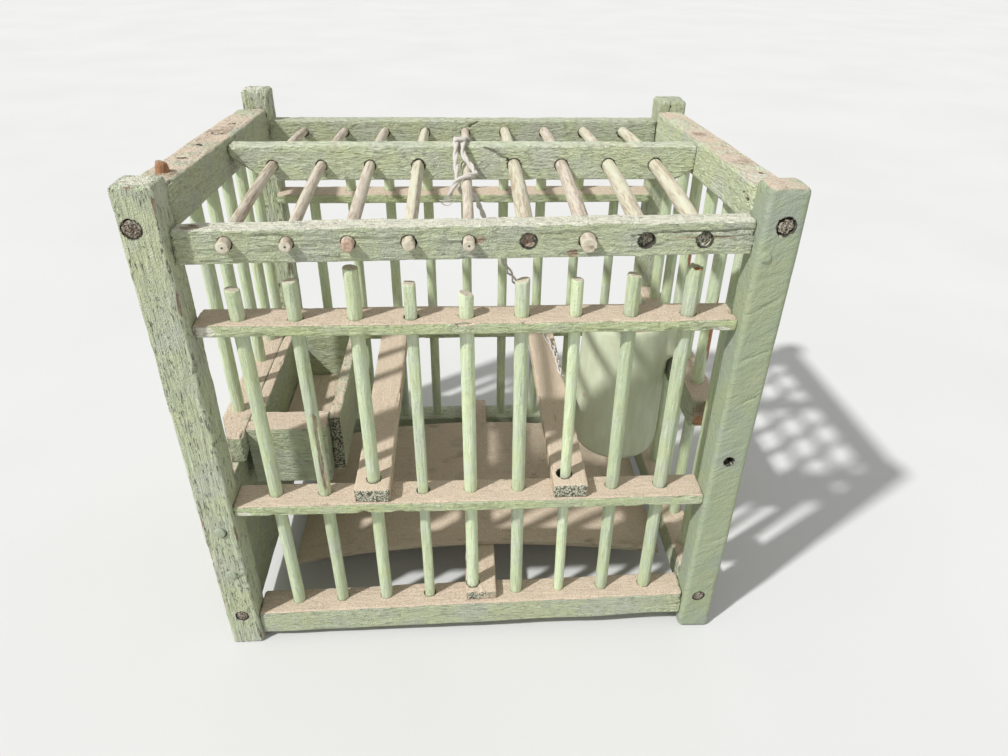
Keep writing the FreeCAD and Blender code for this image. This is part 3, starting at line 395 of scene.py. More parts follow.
def old_paint(name, along, relief=1.0, tint=1.0, cracked=0.35, grey=0.25, flakes=None, mottle=1.0):
    """Chalky paint of nearly one colour. Ridges, pebbles and fine cracks along the grain give its look. It is
    painted darker in the dips of its relief and paler on crests, edges and tops: painted shade and highlight
    over some real mottling.
    """
    coat = Finish(name)
    tone = coat.noise(coat.places, 55.0, 3.0)
    if flakes == "slanting":
        flake = coat.noise(coat.slanted(3.4, math.radians(32)), 330.0, 3.0, 0.60, 0.8)
    else:
        flake = coat.noise(coat.stretched(FLAKE_SCALE[flakes or along]), 820.0, 4.0, 0.60, 0.5)
    pebble = coat.noise(coat.places, 1500.0, 2.0)
    streak = coat.noise(coat.stretched(GRAIN_SCALE[along]), 1500.0, 3.0, 0.6, 0.4)
    fissure = coat.noise(coat.stretched(CRACK_SCALE[along]), 520.0, 3.0, 0.6, 0.3)
    patch = coat.noise(coat.places, 330.0, 3.0, 0.6)
    green = coat.ramp(tone, (0.38, toned(GREY_SAGE, tint)), (0.48, toned(SAGE, tint)),
                      (0.64, toned(YELLOW_SAGE, tint)))
    # Painted light on the relief: the flake noise also lifts the bump, so its dips are painted darker (painted shade)
    # and its high parts and the crest mask paler (painted highlight).
    low = coat.math("MULTIPLY", coat.smooth(flake, 0.47, 0.34), 0.7 * mottle)
    green = coat.blend(low, green, toned(DEEP_SAGE_AND_SHADE, tint))
    raised = coat.math("ADD", flake, coat.math("MULTIPLY", coat.mask("crest"), 0.25))
    high = coat.math("MULTIPLY", coat.smooth(raised, 0.60, 0.76), 0.8 * mottle)
    green = coat.blend(high, green, toned(CHALK_AND_HIGHLIGHT, tint))
    green = coat.blend(coat.math("MULTIPLY", coat.smooth(patch, 0.50, 0.66), grey), green, toned(GREY_SAGE, tint))
    # Nearly white where the chalk mask is full: bleached spots, and on the front top rail's top partly a painted
    # highlight.
    green = coat.blend(coat.broken("chalk", flake, 0.7, 0.30, 0.70), green, BLEACHED_AND_HIGHLIGHT)
    offset = coat.math("ABSOLUTE", coat.math("SUBTRACT", fissure, 0.5))
    lines = coat.math("MULTIPLY", coat.smooth(offset, 0.020, 0.005), coat.smooth(patch, 0.46, 0.56))
    green = coat.blend(coat.math("MULTIPLY", lines, cracked), green, GROOVE)
    wood = coat.ramp(streak, (0.34, WOOD_DARK), (0.62, WOOD_PALE))
    raw = coat.ramp(streak, (0.34, RAW_DARK), (0.58, RAW_PALE))
    fresh = coat.ramp(streak, (0.34, ORANGE_DARK), (0.62, ORANGE_PALE))
    dust = coat.ramp(pebble, (0.34, DUST_DARK), (0.46, DUST), (0.64, DUST_PALE))
    shown = coat.blend(coat.broken("bare", flake, 0.8, 0.40, 0.60), green, wood)
    shown = coat.worn(shown, patch, raw, fresh)
    dusty = coat.broken("dust", patch, 0.5, 0.30, 0.62)
    shown = coat.blend(dusty, shown, dust)
    coat.colour(coat.grimed_and_shaded(shown, patch))
    coat.roughness(patch, 0.62, 0.92)
    height = coat.math("ADD", flake, coat.math("MULTIPLY", pebble, 0.45))
    height = coat.math("SUBTRACT", height, coat.math("MULTIPLY", lines, 0.35 * cracked))
    height = coat.math("MULTIPLY", height, coat.math("SUBTRACT", 1.0, coat.math("MULTIPLY", dusty, 0.7)))
    coat.relief(height, 0.0024, relief)
    return coat.material


ridged = {along: old_paint(f"ridged_sage_paint_{along.lower()}", along) for along in "XYZ"}
# A brighter copy of the same paint for the middle rail and the right top rail: painted sunlight, not a different
# paint.
painted_sunlight = {along: old_paint(f"sunned_sage_paint_{along.lower()}", along, tint=1.22) for along in "XY"}
slat_paint = old_paint("yellow_slat_paint", "X", tint=np.array([1.06, 1.09, 0.94]), grey=0.05)
shredded = old_paint("shredded_sage_paint", "Z", relief=0.9, cracked=0.95, grey=0.5, flakes="shreds")
post_paint = old_paint("matte_post_paint", "Z", relief=0.45, tint=np.array([0.60, 0.638, 0.635]), cracked=0.10,
                       grey=0.15, flakes="slanting", mottle=0.45)
nail_paint = old_paint("nail_head_paint", "Z", relief=0.45, tint=np.array([0.70, 0.73, 0.72]), cracked=0.0,
                       grey=0.10, mottle=0.6)
# Lit and shaded copies of one bar paint: a bar that caught more light gets a paler copy and one in shade a darker
# copy, painted light and shade rather than different paint.
BAR_PAINTED_LIGHT = {"pale": 1.22, "middle": 1.06, "deep": 0.95}
GREENER = np.array([0.98, 1.03, 0.98])
bar_paints_with_painted_light = {tone: old_paint(f"{tone}_bar_paint_with_painted_light", "Z", relief=0.55, tint=tint * GREENER, cracked=0.22, grey=0.10,
                              flakes="shreds", mottle=0.8) for tone, tint in BAR_PAINTED_LIGHT.items()}
print("paint finishes:", [finish.name for finish in (*ridged.values(), slat_paint, shredded, post_paint, nail_paint)])


# %% Bare wood, end grain, cup, nails and cotton
def bare_wood(name, along, pale, mid, dark, green, broken):
    """Dry unpainted wood: long streaks, grey patches, and a little green where paint was wiped."""
    coat = Finish(name)
    grain = coat.stretched(GRAIN_SCALE[along])
    streak = coat.noise(grain, 900.0, 4.0, 0.6, 0.3)
    tone = coat.noise(grain, 150.0, 3.0, 0.6)
    patch = coat.noise(coat.places, 260.0, 3.0, 0.6)
    speck = coat.noise(coat.places, 1900.0, 2.0)
    mixed = coat.math("ADD", coat.math("MULTIPLY", streak, 0.6), coat.math("MULTIPLY", tone, 0.4))
    wood = coat.ramp(mixed, (0.40, dark), (0.50, mid), (0.61, pale))
    wood = coat.blend(coat.math("MULTIPLY", coat.smooth(tone, 0.50, 0.68), green), wood, SAGE)
    fresh = coat.ramp(streak, (0.34, toned(broken, 0.55)), (0.62, broken))
    dust = coat.ramp(speck, (0.34, DUST_DARK), (0.48, DUST), (0.66, DUST_PALE))
    raw = coat.ramp(patch, (0.36, RAW_DARK), (0.56, RAW_PALE))
    shown = coat.blend(coat.broken("bare", streak, 0.6, 0.30, 0.70), wood, WOOD_PALE)
    shown = coat.worn(shown, patch, raw, fresh)
    shown = coat.blend(coat.broken("dust", patch, 0.7, 0.30, 0.62), shown, dust)
    coat.colour(coat.grimed_and_shaded(shown, patch))
    coat.roughness(patch, 0.65, 0.95)
    coat.relief(mixed, 0.0008, 0.7)
    return coat.material


def end_grain():
    """The sawn end of a peg: dark pores packed close, with flecks of paint caught between them."""
    coat = Finish("peg_end_grain")
    pores = coat.add("ShaderNodeTexVoronoi", Vector=coat.places, Scale=1500.0).outputs["Distance"]
    patch = coat.noise(coat.places, 900.0, 3.0, 0.7)
    wood = coat.ramp(pores, (0.10, (0.400, 0.350, 0.270)), (0.45, (0.215, 0.175, 0.128)),
                     (0.70, (0.060, 0.048, 0.034)))
    fleck = coat.smooth(patch, 0.54, 0.62)
    shown = coat.blend(coat.math("MULTIPLY", fleck, 0.75), wood, (0.520, 0.500, 0.420))
    shown = coat.blend(coat.broken("fresh", patch, 0.5, 0.30, 0.60), shown, (0.330, 0.190, 0.105))
    shown = coat.blend(coat.mask("grime"), shown, GRIME_AND_SHADE)
    coat.colour(shown)
    coat.roughness(patch, 0.8, 0.95)
    coat.relief(coat.math("SUBTRACT", patch, coat.math("MULTIPLY", pores, 0.7)), 0.0008, 0.8)
    return coat.material


def cup_paint():
    """Thick smooth paint with brush drag, rubbed brown in places, dusty where it looks up."""
    coat = Finish("smooth_cup_paint")
    drag = coat.noise(coat.stretched((1.0, 1.0, 0.3)), 180.0, 3.0, 0.5)
    patch = coat.noise(coat.places, 120.0, 4.0, 0.6)
    speck = coat.noise(coat.places, 900.0, 2.0)
    green = coat.ramp(drag, (0.35, (0.520, 0.560, 0.400)), (0.52, (0.560, 0.600, 0.440)),
                      (0.70, (0.600, 0.640, 0.485)))
    green = coat.blend(coat.math("MULTIPLY", coat.smooth(patch, 0.56, 0.72), 0.25), green, (0.430, 0.420, 0.280))
    shown = coat.blend(coat.broken("bare", speck, 0.6, 0.36, 0.58), green, WOOD_PALE)
    shown = coat.blend(coat.broken("dust", speck, 0.5, 0.28, 0.66), shown, DUST)
    shown = coat.blend(coat.math("MULTIPLY", coat.broken("grime", patch, 0.5, 0.15, 0.85), 0.8), shown, GRIME_AND_SHADE)
    coat.colour(shown)
    coat.roughness(patch, 0.42, 0.75)
    coat.relief(coat.math("ADD", drag, coat.math("MULTIPLY", speck, 0.2)), 0.0006, 0.35)
    return coat.material


def cotton():
    """Cream cotton: fibres across the twist, a little grey dirt, and a soft sheen."""
    coat = Finish("cream_cotton")
    fibre = coat.noise(coat.places, 2600.0, 3.0, 0.6, 1.0)
    dirt = coat.noise(coat.places, 140.0, 3.0, 0.6)
    cream = coat.ramp(fibre, (0.32, (0.480, 0.440, 0.390)), (0.58, (0.640, 0.610, 0.565)))
    coat.colour(coat.blend(coat.math("MULTIPLY", coat.smooth(dirt, 0.52, 0.70), 0.45), cream, (0.520, 0.405, 0.330)))
    coat.shader.inputs["Sheen Weight"].default_value = 0.3
    coat.shader.inputs["Roughness"].default_value = 0.9
    coat.relief(fibre, 0.0003, 0.6)
    return coat.material


ROSE_BREAK = (0.560, 0.400, 0.300)
rod_wood = bare_wood("dry_rod_wood", "Y", (0.620, 0.570, 0.480), (0.540, 0.478, 0.388), (0.360, 0.292, 0.215), 0.20,
                     ROSE_BREAK)
green_rod_wood = bare_wood("green_rod_wood", "Y", (0.620, 0.590, 0.475), (0.560, 0.525, 0.405), (0.400, 0.335, 0.235),
                           0.45, toned(ROSE_BREAK, 0.8))
perch_wood = bare_wood("dusty_perch_wood", "Y", (0.660, 0.560, 0.435), (0.580, 0.475, 0.355), (0.380, 0.290, 0.200),
                       0.30, ORANGE_PALE)
floor_wood = bare_wood("dusty_floor_wood", "X", (0.560, 0.480, 0.375), (0.480, 0.405, 0.310), (0.350, 0.280, 0.195),
                       0.25, ORANGE_PALE)
peg_end = end_grain()
cup_finish = cup_paint()
cotton_finish = cotton()
print("bare finishes:", [finish.name for finish in (rod_wood, green_rod_wood, perch_wood, floor_wood, cup_finish)])

# %% [markdown]
# ## The string
# A soft cotton string is tied round the middle rail beside the fifth rod, and its long end trails down to
# the right perch. A bevelled curve would be a smooth wire. Here two plies wind round the curve, and each is
# a three-lobed section that turns as it goes, which gives the twist of the yarn.

# %% The string's route
STRING_ROUTE = (
    (-8.4, -30.6, 234.4), (-7.0, -30.6, 238.6), (-4.0, -30.8, 242.4), (0.6, -30.4, 244.2),
    (4.6, -27.6, 243.0), (3.2, -21, 244.4), (1.0, -14, 245.6), (-1.8, -8, 247.4), (-1.6, -3.0, 252.0),
    (-1.2, 3, 252.2), (1.0, 9.4, 251.6), (4.4, 10.2, 246), (5.0, 10.2, 240), (3.6, 10.2, 234.4),
    (-3.6, 10.2, 234.4), (-5.4, 10.2, 241), (-5.4, 9.8, 251.4), (-5.2, 4, 252.4), (-5.1, -3.0, 252.0),
    (-5.6, -12, 246.6), (-5.0, -22, 243.6), (-4.6, -27, 240.6), (-3.6, -27.4, 234.8), (1.4, -25.4, 233.0),
    (3.6, -20, 231.8), (5.8, -12, 223.6), (8.4, -4, 215.4), (13.6, 6.4, 199), (20, 16, 180.8),
    (29.6, 25.6, 160.8), (40.6, 40.4, 132), (49, 47.6, 115.6), (54, 44.6, 109.4), (56.2, 36, 108.6),
    (56.8, 25, 108.9), (56.4, 12, 108.7), (57.6, 3.5, 108.7))


def spline_points(route, name):
    """Read a smooth line off a spline: the route gives its control points, and Blender evaluates it."""
    curve = bpy.data.curves.new(name, "CURVE")
    curve.dimensions = "3D"
    curve.resolution_u = 24
    spline = curve.splines.new("NURBS")
    spline.points.add(len(route) - 1)
    controls = np.column_stack([np.array(route) * MM, np.ones(len(route))])
    spline.points.foreach_set("co", controls.astype(np.float32).ravel())
    spline.order_u = 3
    spline.use_endpoint_u = True
    holder = bpy.data.objects.new(name, curve)
    scene.collection.objects.link(holder)
    line = bpy.data.meshes.new_from_object(holder)
    places = np.empty(len(line.vertices) * 3, np.float32)
    line.vertices.foreach_get("co", places)
    bpy.data.objects.remove(holder)
    bpy.data.curves.remove(curve)
    bpy.data.meshes.remove(line)
    return places.reshape(-1, 3).astype(float)


def evenly(points, gap):
    """Walk along a line of points and set stations one gap apart."""
    steps = np.linalg.norm(np.diff(points, axis=0), axis=1)
    reach = np.concatenate([[0], np.cumsum(steps)])
    stations = np.linspace(0, reach[-1], int(reach[-1] / gap))
    return np.stack([np.interp(stations, reach, points[:, k]) for k in range(3)], axis=1)


def unit(arrows):
    """The same arrows, each one long."""
    return arrows / np.linalg.norm(arrows, axis=-1, keepdims=True)


def steady_sides(line):
    """Two side directions along a line that don't spin: take any pair, measure how far it turns from one
    station to the next, and take the sum of those turns back out."""
    ahead = unit(np.gradient(line, axis=0))
    side = unit(np.cross(ahead, np.array([0.62, -0.71, 0.33])))
    carried = unit(side[:-1] - np.sum(side[:-1] * ahead[1:], axis=1, keepdims=True) * ahead[1:])
    turn = np.arctan2(np.sum(np.cross(carried, side[1:]) * ahead[1:], axis=1), np.sum(carried * side[1:], axis=1))
    angle = -np.concatenate([[0], np.cumsum(turn)])[:, None]
    other = np.cross(ahead, side)
    side = np.cos(angle) * side + np.sin(angle) * other
    return side, np.cross(ahead, side)


def length_of(line):
    """The sum of the steps from each station to the next."""
    return np.linalg.norm(np.diff(line, axis=0), axis=1).sum()


def reach_along(line):
    """How far along the line each of its even stations is."""
    return np.linspace(0, 1, len(line)) * length_of(line)


def yarn(line, radius, lobes, turns_per_metre, around):
    """A section of round lobes, radius times 0.8 to 1, carried along the line and turned as it goes."""
    side, other = steady_sides(line)
    reach = reach_along(line)
    around_angle = np.linspace(0, 2 * np.pi, around, endpoint=False)
    twist = 2 * np.pi * turns_per_metre * reach
    lobe = 0.80 + 0.20 * np.abs(np.cos(lobes / 2 * (around_angle[None, :] - twist[:, None])))
    uneven = 1 + 0.10 * rough_noise(np.stack([reach * 300] * 3, axis=1), 3)[:, None]
    size = np.broadcast_to(radius, len(line))[:, None] * lobe * uneven
    size[[0, -1]] = 0
    return (line[:, None, :] + (size * np.cos(around_angle))[..., None] * side[:, None, :]
            + (size * np.sin(around_angle))[..., None] * other[:, None, :])


def ply(line, start_angle, turns_per_metre, apart):
    """One of the plies of a string: the line moved sideways by apart, in a direction that slowly turns."""
    side, other = steady_sides(line)
    reach = reach_along(line)
    angle = (start_angle + 2 * np.pi * turns_per_metre * reach)[:, None]
    return line + apart[:, None] * (np.cos(angle) * side + np.sin(angle) * other)


print("route of", len(STRING_ROUTE), "points")

# %% The string's two plies
string_line = evenly(spline_points(STRING_ROUTE, "string_route"), 0.4 * MM)
string_length = length_of(string_line)
LASHING_LENGTH = 0.20
PLY_TURNS, YARN_TURNS = 55, 330
string_reach = np.linspace(0, string_length, len(string_line))
loosened = ease(string_reach, LASHING_LENGTH, LASHING_LENGTH + 0.02)
apart = MM * (0.55 + loosened * (0.45 + 0.5 * rough_noise(np.stack([string_reach * 60] * 3, axis=1), 9)))
plies = [ply(string_line, angle, PLY_TURNS, apart) for angle in (0.0, math.pi)]
string = piece("string_yarn", "frame", cotton_finish, ["string"],
               [skin(yarn(line, MM * (0.92 - 0.27 * loosened), 3, YARN_TURNS, 14)) for line in plies])
settle(string)
print("string length", round(string_length / MM, 1), "mm")


# %% The string's frayed end
def fibres(start, ahead, count, reach, seed):
    """Fine hairs that leave a point in a fan and curl: straight part plus a growing sideways bend."""
    draws = np.random.default_rng(seed)
    far = np.linspace(0, 1, 24)[None, :, None]
    lengths = reach * draws.uniform(0.45, 1.0, (count, 1, 1))
    fan = unit(np.array(ahead) + 0.45 * draws.normal(size=(count, 3)))[:, None, :]
    bend = unit(draws.normal(size=(count, 3)) + np.array([0, 0, -0.6]))[:, None, :]
    curl = unit(np.cross(fan, bend))
    path = start + lengths * (far * fan + 0.45 * far ** 2 * bend + 0.10 * np.sin(5 * far) * far * curl)
    around = np.linspace(0, 2 * np.pi, 5, endpoint=False)[None, None, :, None]
    size = 0.07 * MM * (1 - 0.6 * far[..., None])
    size = size * (far[..., None] > 0) * (far[..., None] < 1)
    tubes = path[:, :, None, :] + size * (np.cos(around) * bend[:, :, None, :]
                                          + np.sin(around) * curl[:, :, None, :])
    return [skin(tube) for tube in tubes]


def fuzz(line, count, reach, seed):
    """Loose hairs along a line: a short fan of one hair at each of a few random places."""
    draws = np.random.default_rng(seed)
    spots = draws.integers(2, len(line) - 2, count)
    return [hair for number, spot in enumerate(spots)
            for hair in fibres(line[spot], draws.normal(size=3), 1, reach, seed + number)]


tail = string_line[1]
CURL_ROUTE = (
    (-8.2, -30.6, 234.6), (-9.6, -29.6, 230.5), (-14.6, -27.6, 231.6), (-11, -26.4, 227.6),
    (-7.4, -26, 228.6), (-5.6, -26, 231.6))
curl = evenly(spline_points(CURL_ROUTE, "curl_route"), 0.3 * MM)
KNOT_ROUTE = (
    (-6.3, -1.0, 250.9), (-5.8, -1.8, 253.4), (-3.2, -2.2, 254.0), (-0.8, -1.8, 253.4),
    (-0.4, -0.4, 252.0), (-0.9, 0.8, 253.4), (-3.4, 0.8, 253.9), (-6.0, 0.4, 253.0), (-6.5, 0.4, 250.9))
knot = evenly(spline_points(KNOT_ROUTE, "knot_route"), 0.3 * MM)
fray = piece("string_fray", "frame", cotton_finish, [],
             fibres(tail, (-0.55, -0.25, -0.75), 26, 6 * MM, 5)
             + fibres(string_line[-2], (-0.1, -0.9, 0.0), 9, 5 * MM, 6)
             + fuzz(string_line[string_reach > LASHING_LENGTH], 90, 3.2 * MM, 40)
             + fuzz(string_line[string_reach < LASHING_LENGTH], 40, 1.8 * MM, 400)
             + [skin(yarn(curl, 0.22 * MM, 2, 500, 8)), skin(yarn(knot, 0.75 * MM, 3, YARN_TURNS, 12))])
settle(fray)
print("fray triangles", len(fray.data.polygons))

# %% [markdown]
# ## Boards
# A board is a rounded rectangle carried along its length. A cube with a Bevel modifier would give the
# same block, but on a grid every point can be shifted: ridges along the grain, worn and chipped edges,
# cracks that open along a line, and flats that a knife left. Each of those is one term of the shift.

# %% Outlines and stations
ORDER = {"X": (0, 1, 2), "Y": (1, 0, 2), "Z": (2, 0, 1)}


def rectangle_outline(wide, tall, bends):
    """Round a rectangle: each point has the corner it leans to (two columns) and its turn (two columns)."""
    sides = []
    quarter = np.array([[0, -1], [1, 0]])
    turn = np.eye(2)
    for count in (wide, tall, wide, tall):
        run = np.linspace(-1, 1, count, endpoint=False)
        arc = np.linspace(-np.pi / 2, 0, bends, endpoint=False)
        corner = np.concatenate([np.stack([run, -np.ones(count)], 1), np.tile([1.0, -1.0], (bends, 1))])
        lean = np.concatenate([np.tile([0.0, -1.0], (count, 1)), np.stack([np.cos(arc), np.sin(arc)], 1)])
        sides.append(np.concatenate([corner @ turn.T, lean @ turn.T], axis=1))
        turn = quarter @ turn
    return np.concatenate(sides)


def ring_stations(length, edge, step):
    """Along a board: an end point, the end face, its rounded edge, the long run, and the same mirrored.
    Columns are the place along, how far the ring is pulled in, and its share of the end face."""
    face = np.linspace(0, 1, 7)[:-1]
    arc = np.linspace(0, np.pi / 2, 5)
    run = np.linspace(edge, length - edge, max(int(length / step), 8))[1:-1]
    near = np.concatenate([
        np.stack([0 * face, edge + 0 * face, face], 1),
        np.stack([edge * (1 - np.cos(arc)), edge * (1 - np.sin(arc)), 1 + 0 * arc], 1)])
    far = near[::-1] * np.array([-1, 1, 1]) + np.array([length, 0, 0])
    return np.concatenate([near, np.stack([run, 0 * run, 1 + 0 * run], 1), far])


def grid_normals(rings):
    """Outward directions of a ring grid from its two neighbour differences."""
    along = np.gradient(rings, axis=0)
    around = np.roll(rings, -1, axis=1) - np.roll(rings, 1, axis=1)
    arrows = np.cross(around, along)
    length = np.linalg.norm(arrows, axis=-1, keepdims=True)
    arrows = arrows / np.maximum(length, 1e-12)
    middle = rings.mean(axis=1, keepdims=True)
    facing = np.sum(arrows * (rings - middle), axis=-1)
    return arrows if facing.sum() > 0 else -arrows


print("an outline of 6 by 4 steps has", len(rectangle_outline(6, 4, 5)), "points")


# %% Cracks, spots, flats and ridges
def line_distance(points, start, end):
    """How far each point is from the straight line between two places, and how far along it is."""
    start, end = np.array(start) * MM, np.array(end) * MM
    run = end - start
    share = np.clip(((points - start) @ run) / (run @ run), 0, 1)
    return np.linalg.norm(points - start - share[:, None] * run, axis=1), share


def crack_depth(points, cracks, seed):
    """A crack is a line with a width and a depth: deepest on the line, closing at its ends, and wavy."""
    depth = np.zeros(len(points))
    for number, (start, end, width, deep) in enumerate(cracks):
        wavy = points + 0.5 * MM * rough_noise(points * 330, seed + number)[:, None]
        gap, share = line_distance(wavy, start, end)
        closing = np.sqrt(np.clip(4 * share * (1 - share) + 0.05, 0, 1))
        depth = np.maximum(depth, deep * MM * closing * np.clip(1 - gap / (width * MM), 0, 1))
    return depth


def near_spot(points, place, size):
    """1 within less than half a size of a place, and 0 beyond one size; a size may differ for each axis."""
    return 1 - ease(np.linalg.norm((points / MM - np.array(place)) / np.array(size), axis=1), 0.45, 1.0)


def most_of(points, spots):
    """The strongest of several spots at each point, or 0 where there is none."""
    return np.max([np.zeros(len(points))] + [near_spot(points, *spot) for spot in spots], axis=0)


def shave(points, flats, seed):
    """A knife flat or a break: points beyond a rough plane are brought back to it."""
    for number, (place, facing, coarse) in enumerate(flats):
        facing = unit(np.array(facing, float))
        rough = coarse * MM * rough_noise(points * 420, seed + 31 * number, 3)
        beyond = np.maximum((points - np.array(place) * MM) @ facing - rough, 0)
        points = points - beyond[:, None] * facing
    return points


def ridge_height(points, axis, seed):
    """A noise stretched along one axis and bent sideways, then cut into steps, as flakes of paint lie."""
    bent = points + 0.9 * MM * rough_noise(points * 170, seed + 70, 2)[:, None]
    scale = np.full(3, 640.0)
    scale[axis] = 85.0
    height = np.clip(0.5 + 0.55 * rough_noise(bent * scale, seed, 3), 0, 1)
    steps = 4 * height
    ledges = (np.floor(steps) + ease(steps - np.floor(steps), 0.5, 0.95)) / 4
    return np.clip(0.4 * height + 0.6 * ledges, 0, 1)


print("spot at 0, 0.7 and 1 size:", near_spot(np.array([[0, 0, 0], [0.7, 0, 0], [1, 0, 0]]) * MM, (0, 0, 0), 1))


# %% Boards
class Board:
    """A weathered board in a node's box, and the facts that its masks need."""

    def __init__(self, node, along, slope=0.0, pad=((0, 0, 0), (0, 0, 0)), sway=(0.0, 0.0), bow=0.0, edge=0.9,
                 step=0.62, ridge=0.16, wave=0.25, chip=1.0, cracks=(), flats=(), bumps=(), rubbed=(), limits=(),
                 stretch=2.6, seed=1):
        """Lay rounded rectangles along the node's box, where slope, sway and bow move each one. Then shift
        every point along its outward arrow, and shave the flats."""
        low, high = (np.array(corner) + np.array(extra) * MM for corner, extra in zip(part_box(node), pad))
        self.node, self.along, self.seed = node, along, seed
        self.cracks, self.flats, self.bumps, self.holes = list(cracks), list(flats), list(bumps), []
        self.rubbed = list(rubbed)
        order = ORDER[along]
        self.low, self.high = low, high
        length = (high - low)[order[0]]
        half = (high - low)[list(order[1:])] / 2 - np.array([0, abs(slope) * MM / 2])
        half[1] -= abs(bow) * MM / 2
        edge = min(edge * MM, 0.45 * half.min())
        outline = rectangle_outline(*(max(int(2 * size / (step * MM)), 6) for size in half), 5)
        place, pulled, share = ring_stations(length, edge, stretch * step * MM).T
        size = (half[None, :] - pulled[:, None]) * share[:, None]
        bend = edge * share[:, None, None]
        inner = np.maximum(size[:, None, :] - bend, 0)
        flat = outline[None, :, :2] * inner + outline[None, :, 2:] * np.minimum(bend, size[:, None, :])
        part = place / length
        rings = np.empty(flat.shape[:2] + (3,))
        middle = (low + high) / 2
        rings[..., order[0]] = (low[order[0]] + place)[:, None]
        rings[..., order[1]] = middle[order[1]] + flat[..., 0] + (sway[0] * MM * part)[:, None]
        arch = bow * MM * (0.5 - (2 * part - 1) ** 2)
        rings[..., order[2]] = (middle[order[2]] + flat[..., 1]
                                + ((slope * (part - 0.5) + sway[1] * part) * MM + arch)[:, None])
        outward = grid_normals(rings).reshape(-1, 3)
        points = rings.reshape(-1, 3)
        shift = self.shift(points, ridge, wave, chip)
        points = shave(points + shift[:, None] * outward, self.flats + list(limits), seed)
        points = points.reshape(rings.shape)
        points[[0, -1]] = points[[0, -1]].mean(axis=1, keepdims=True)
        self.skin = skin(points)

    def grain_points(self, points, across, lengthwise):
        """The points for a noise: one scale across the grain and another along it."""
        scale = np.full(3, across)
        scale[ORDER[self.along][0]] = lengthwise
        return points * scale

    def edge_gap(self, points):
        """Distance to the nearest edge: the second smallest distance to the six faces of the box."""
        gaps = np.minimum(points - self.low, self.high - points)
        return np.sort(gaps, axis=1)[:, 1]

    def chips(self, points):
        """Where the edge is knocked off: near an edge, and where a coarse noise is high."""
        near = 1 - ease(self.edge_gap(points), 0.4 * MM, 2.6 * MM)
        return near * ease(rough_noise(self.grain_points(points, 260, 110), self.seed + 5), 0.25, 0.75)

    def crests(self, points):
        """0 in the grooves and 1 on the crests of the ridges along the grain."""
        return ridge_height(points, ORDER[self.along][0], self.seed)

    def shift(self, points, ridge, wave, chip):
        """Ridges along the grain, a slow wave, chipped edges and cracks, in metres along the outward arrow."""
        waves = rough_noise(self.grain_points(points, 90, 30), self.seed + 9, 2)
        kept = 1 - 0.85 * most_of(points, self.rubbed)
        shift = (MM * (ridge * kept * (2 * self.crests(points) - 1) + wave * waves)
                 - chip * MM * kept * self.chips(points) - crack_depth(points, self.cracks, self.seed + 40))
        for place, radius, height in self.bumps:
            gap = np.linalg.norm(points / MM - place, axis=1)
            shift = shift + height * MM * (1 - ease(gap, 0.85 * radius, 1.05 * radius))
        return shift

    def bore(self, start, end, radius, ragged=0.09):
        """Note a hole from start to end; build cuts all of them at once."""
        self.holes.append((np.array(start) * MM, np.array(end) * MM, radius * MM, ragged))

    def build(self, body, slot, finish):
        """Make the object from the skin, then cut its holes."""
        obj = piece(f"{self.node}_wood", body, finish, [self.node], [self.skin])
        if self.holes:
            drill(obj, self.holes, self.seed)
        return obj

    def masks(self, obj, dust=1.0, bare=0.6, grime=0.5, raw=0.0, rim=1.0, chalk=0.0, fresh=(), stains=(),
              sawn=(), dark=(), bleached=()):
        """Dust on faces that look up, bare wood on chips and edges, grime at ends, painted shade in holes,
        cracks and pits, and a painted highlight on ridge crests, edges and tops.
        """
        points, outward = vertices(obj)
        slow = rough_noise(points * 120, self.seed + 60, 3)
        edges = 1 - ease(self.edge_gap(points), 0.3 * MM, 1.6 * MM)
        worn = 0.55 * edges + 0.9 * self.chips(points) + 0.25 * slow
        cut = np.zeros(len(points))
        for place, facing, _ in self.flats:
            off = (points - np.array(place) * MM) @ unit(np.array(facing, float))
            cut = np.maximum(cut, ease(off, -0.7 * MM, -0.2 * MM))
        ends = np.minimum(points - self.low, self.high - points)[:, ORDER[self.along][0]]
        dirt = 0.55 * (1 - ease(ends, 0.5 * MM, 5 * MM)) + 0.35 * slow
        # Painted shade: hole walls, the insides of cracks, dark pits and the nails' shadows are darkened in the grime
        # mask.
        painted_shade_rims = np.zeros(len(points))
        for start, end, radius, _ in self.holes:
            gap = line_distance(points, start / MM, end / MM)[0] - radius
            painted_shade_rims = np.maximum(painted_shade_rims, rim * (1 - ease(gap, 0.10 * MM, 0.55 * MM)))
        painted_shade_rims = np.maximum(painted_shade_rims, ease(crack_depth(points, self.cracks, self.seed + 40), 0.15 * MM, 0.45 * MM))
        broken, stained, rough_ends, pits, faded = (
            most_of(points, spots) for spots in (fresh, stains, sawn, dark, bleached))
        painted_shade_rims = np.maximum(painted_shade_rims, pits)
        upward = ease(outward[:, 2], 0.45, 0.85)
        # The crest mask is a painted highlight: ridge crests, edges and faces that look up are painted paler.
        settle(obj, dust=dust * upward * (0.85 + 0.5 * slow), ends=rough_ends,
               bare=np.maximum(np.maximum(bare * worn, 0.8 * (1 - raw) * cut), 0.7 * stained), raw=raw * cut,
               grime=np.maximum(grime * dirt, painted_shade_rims), fresh=broken,
               crest=0.4 * self.crests(points) + 0.6 * np.maximum(edges, upward),
               chalk=np.maximum(chalk * upward * (0.9 + 0.4 * slow), 0.9 * faded))
        print(obj.name, len(obj.data.polygons), "faces")


print("lengthwise axis first:", ORDER)

# %% Drilling
CUTTER_RINGS, CUTTER_SIDES = 14, 30


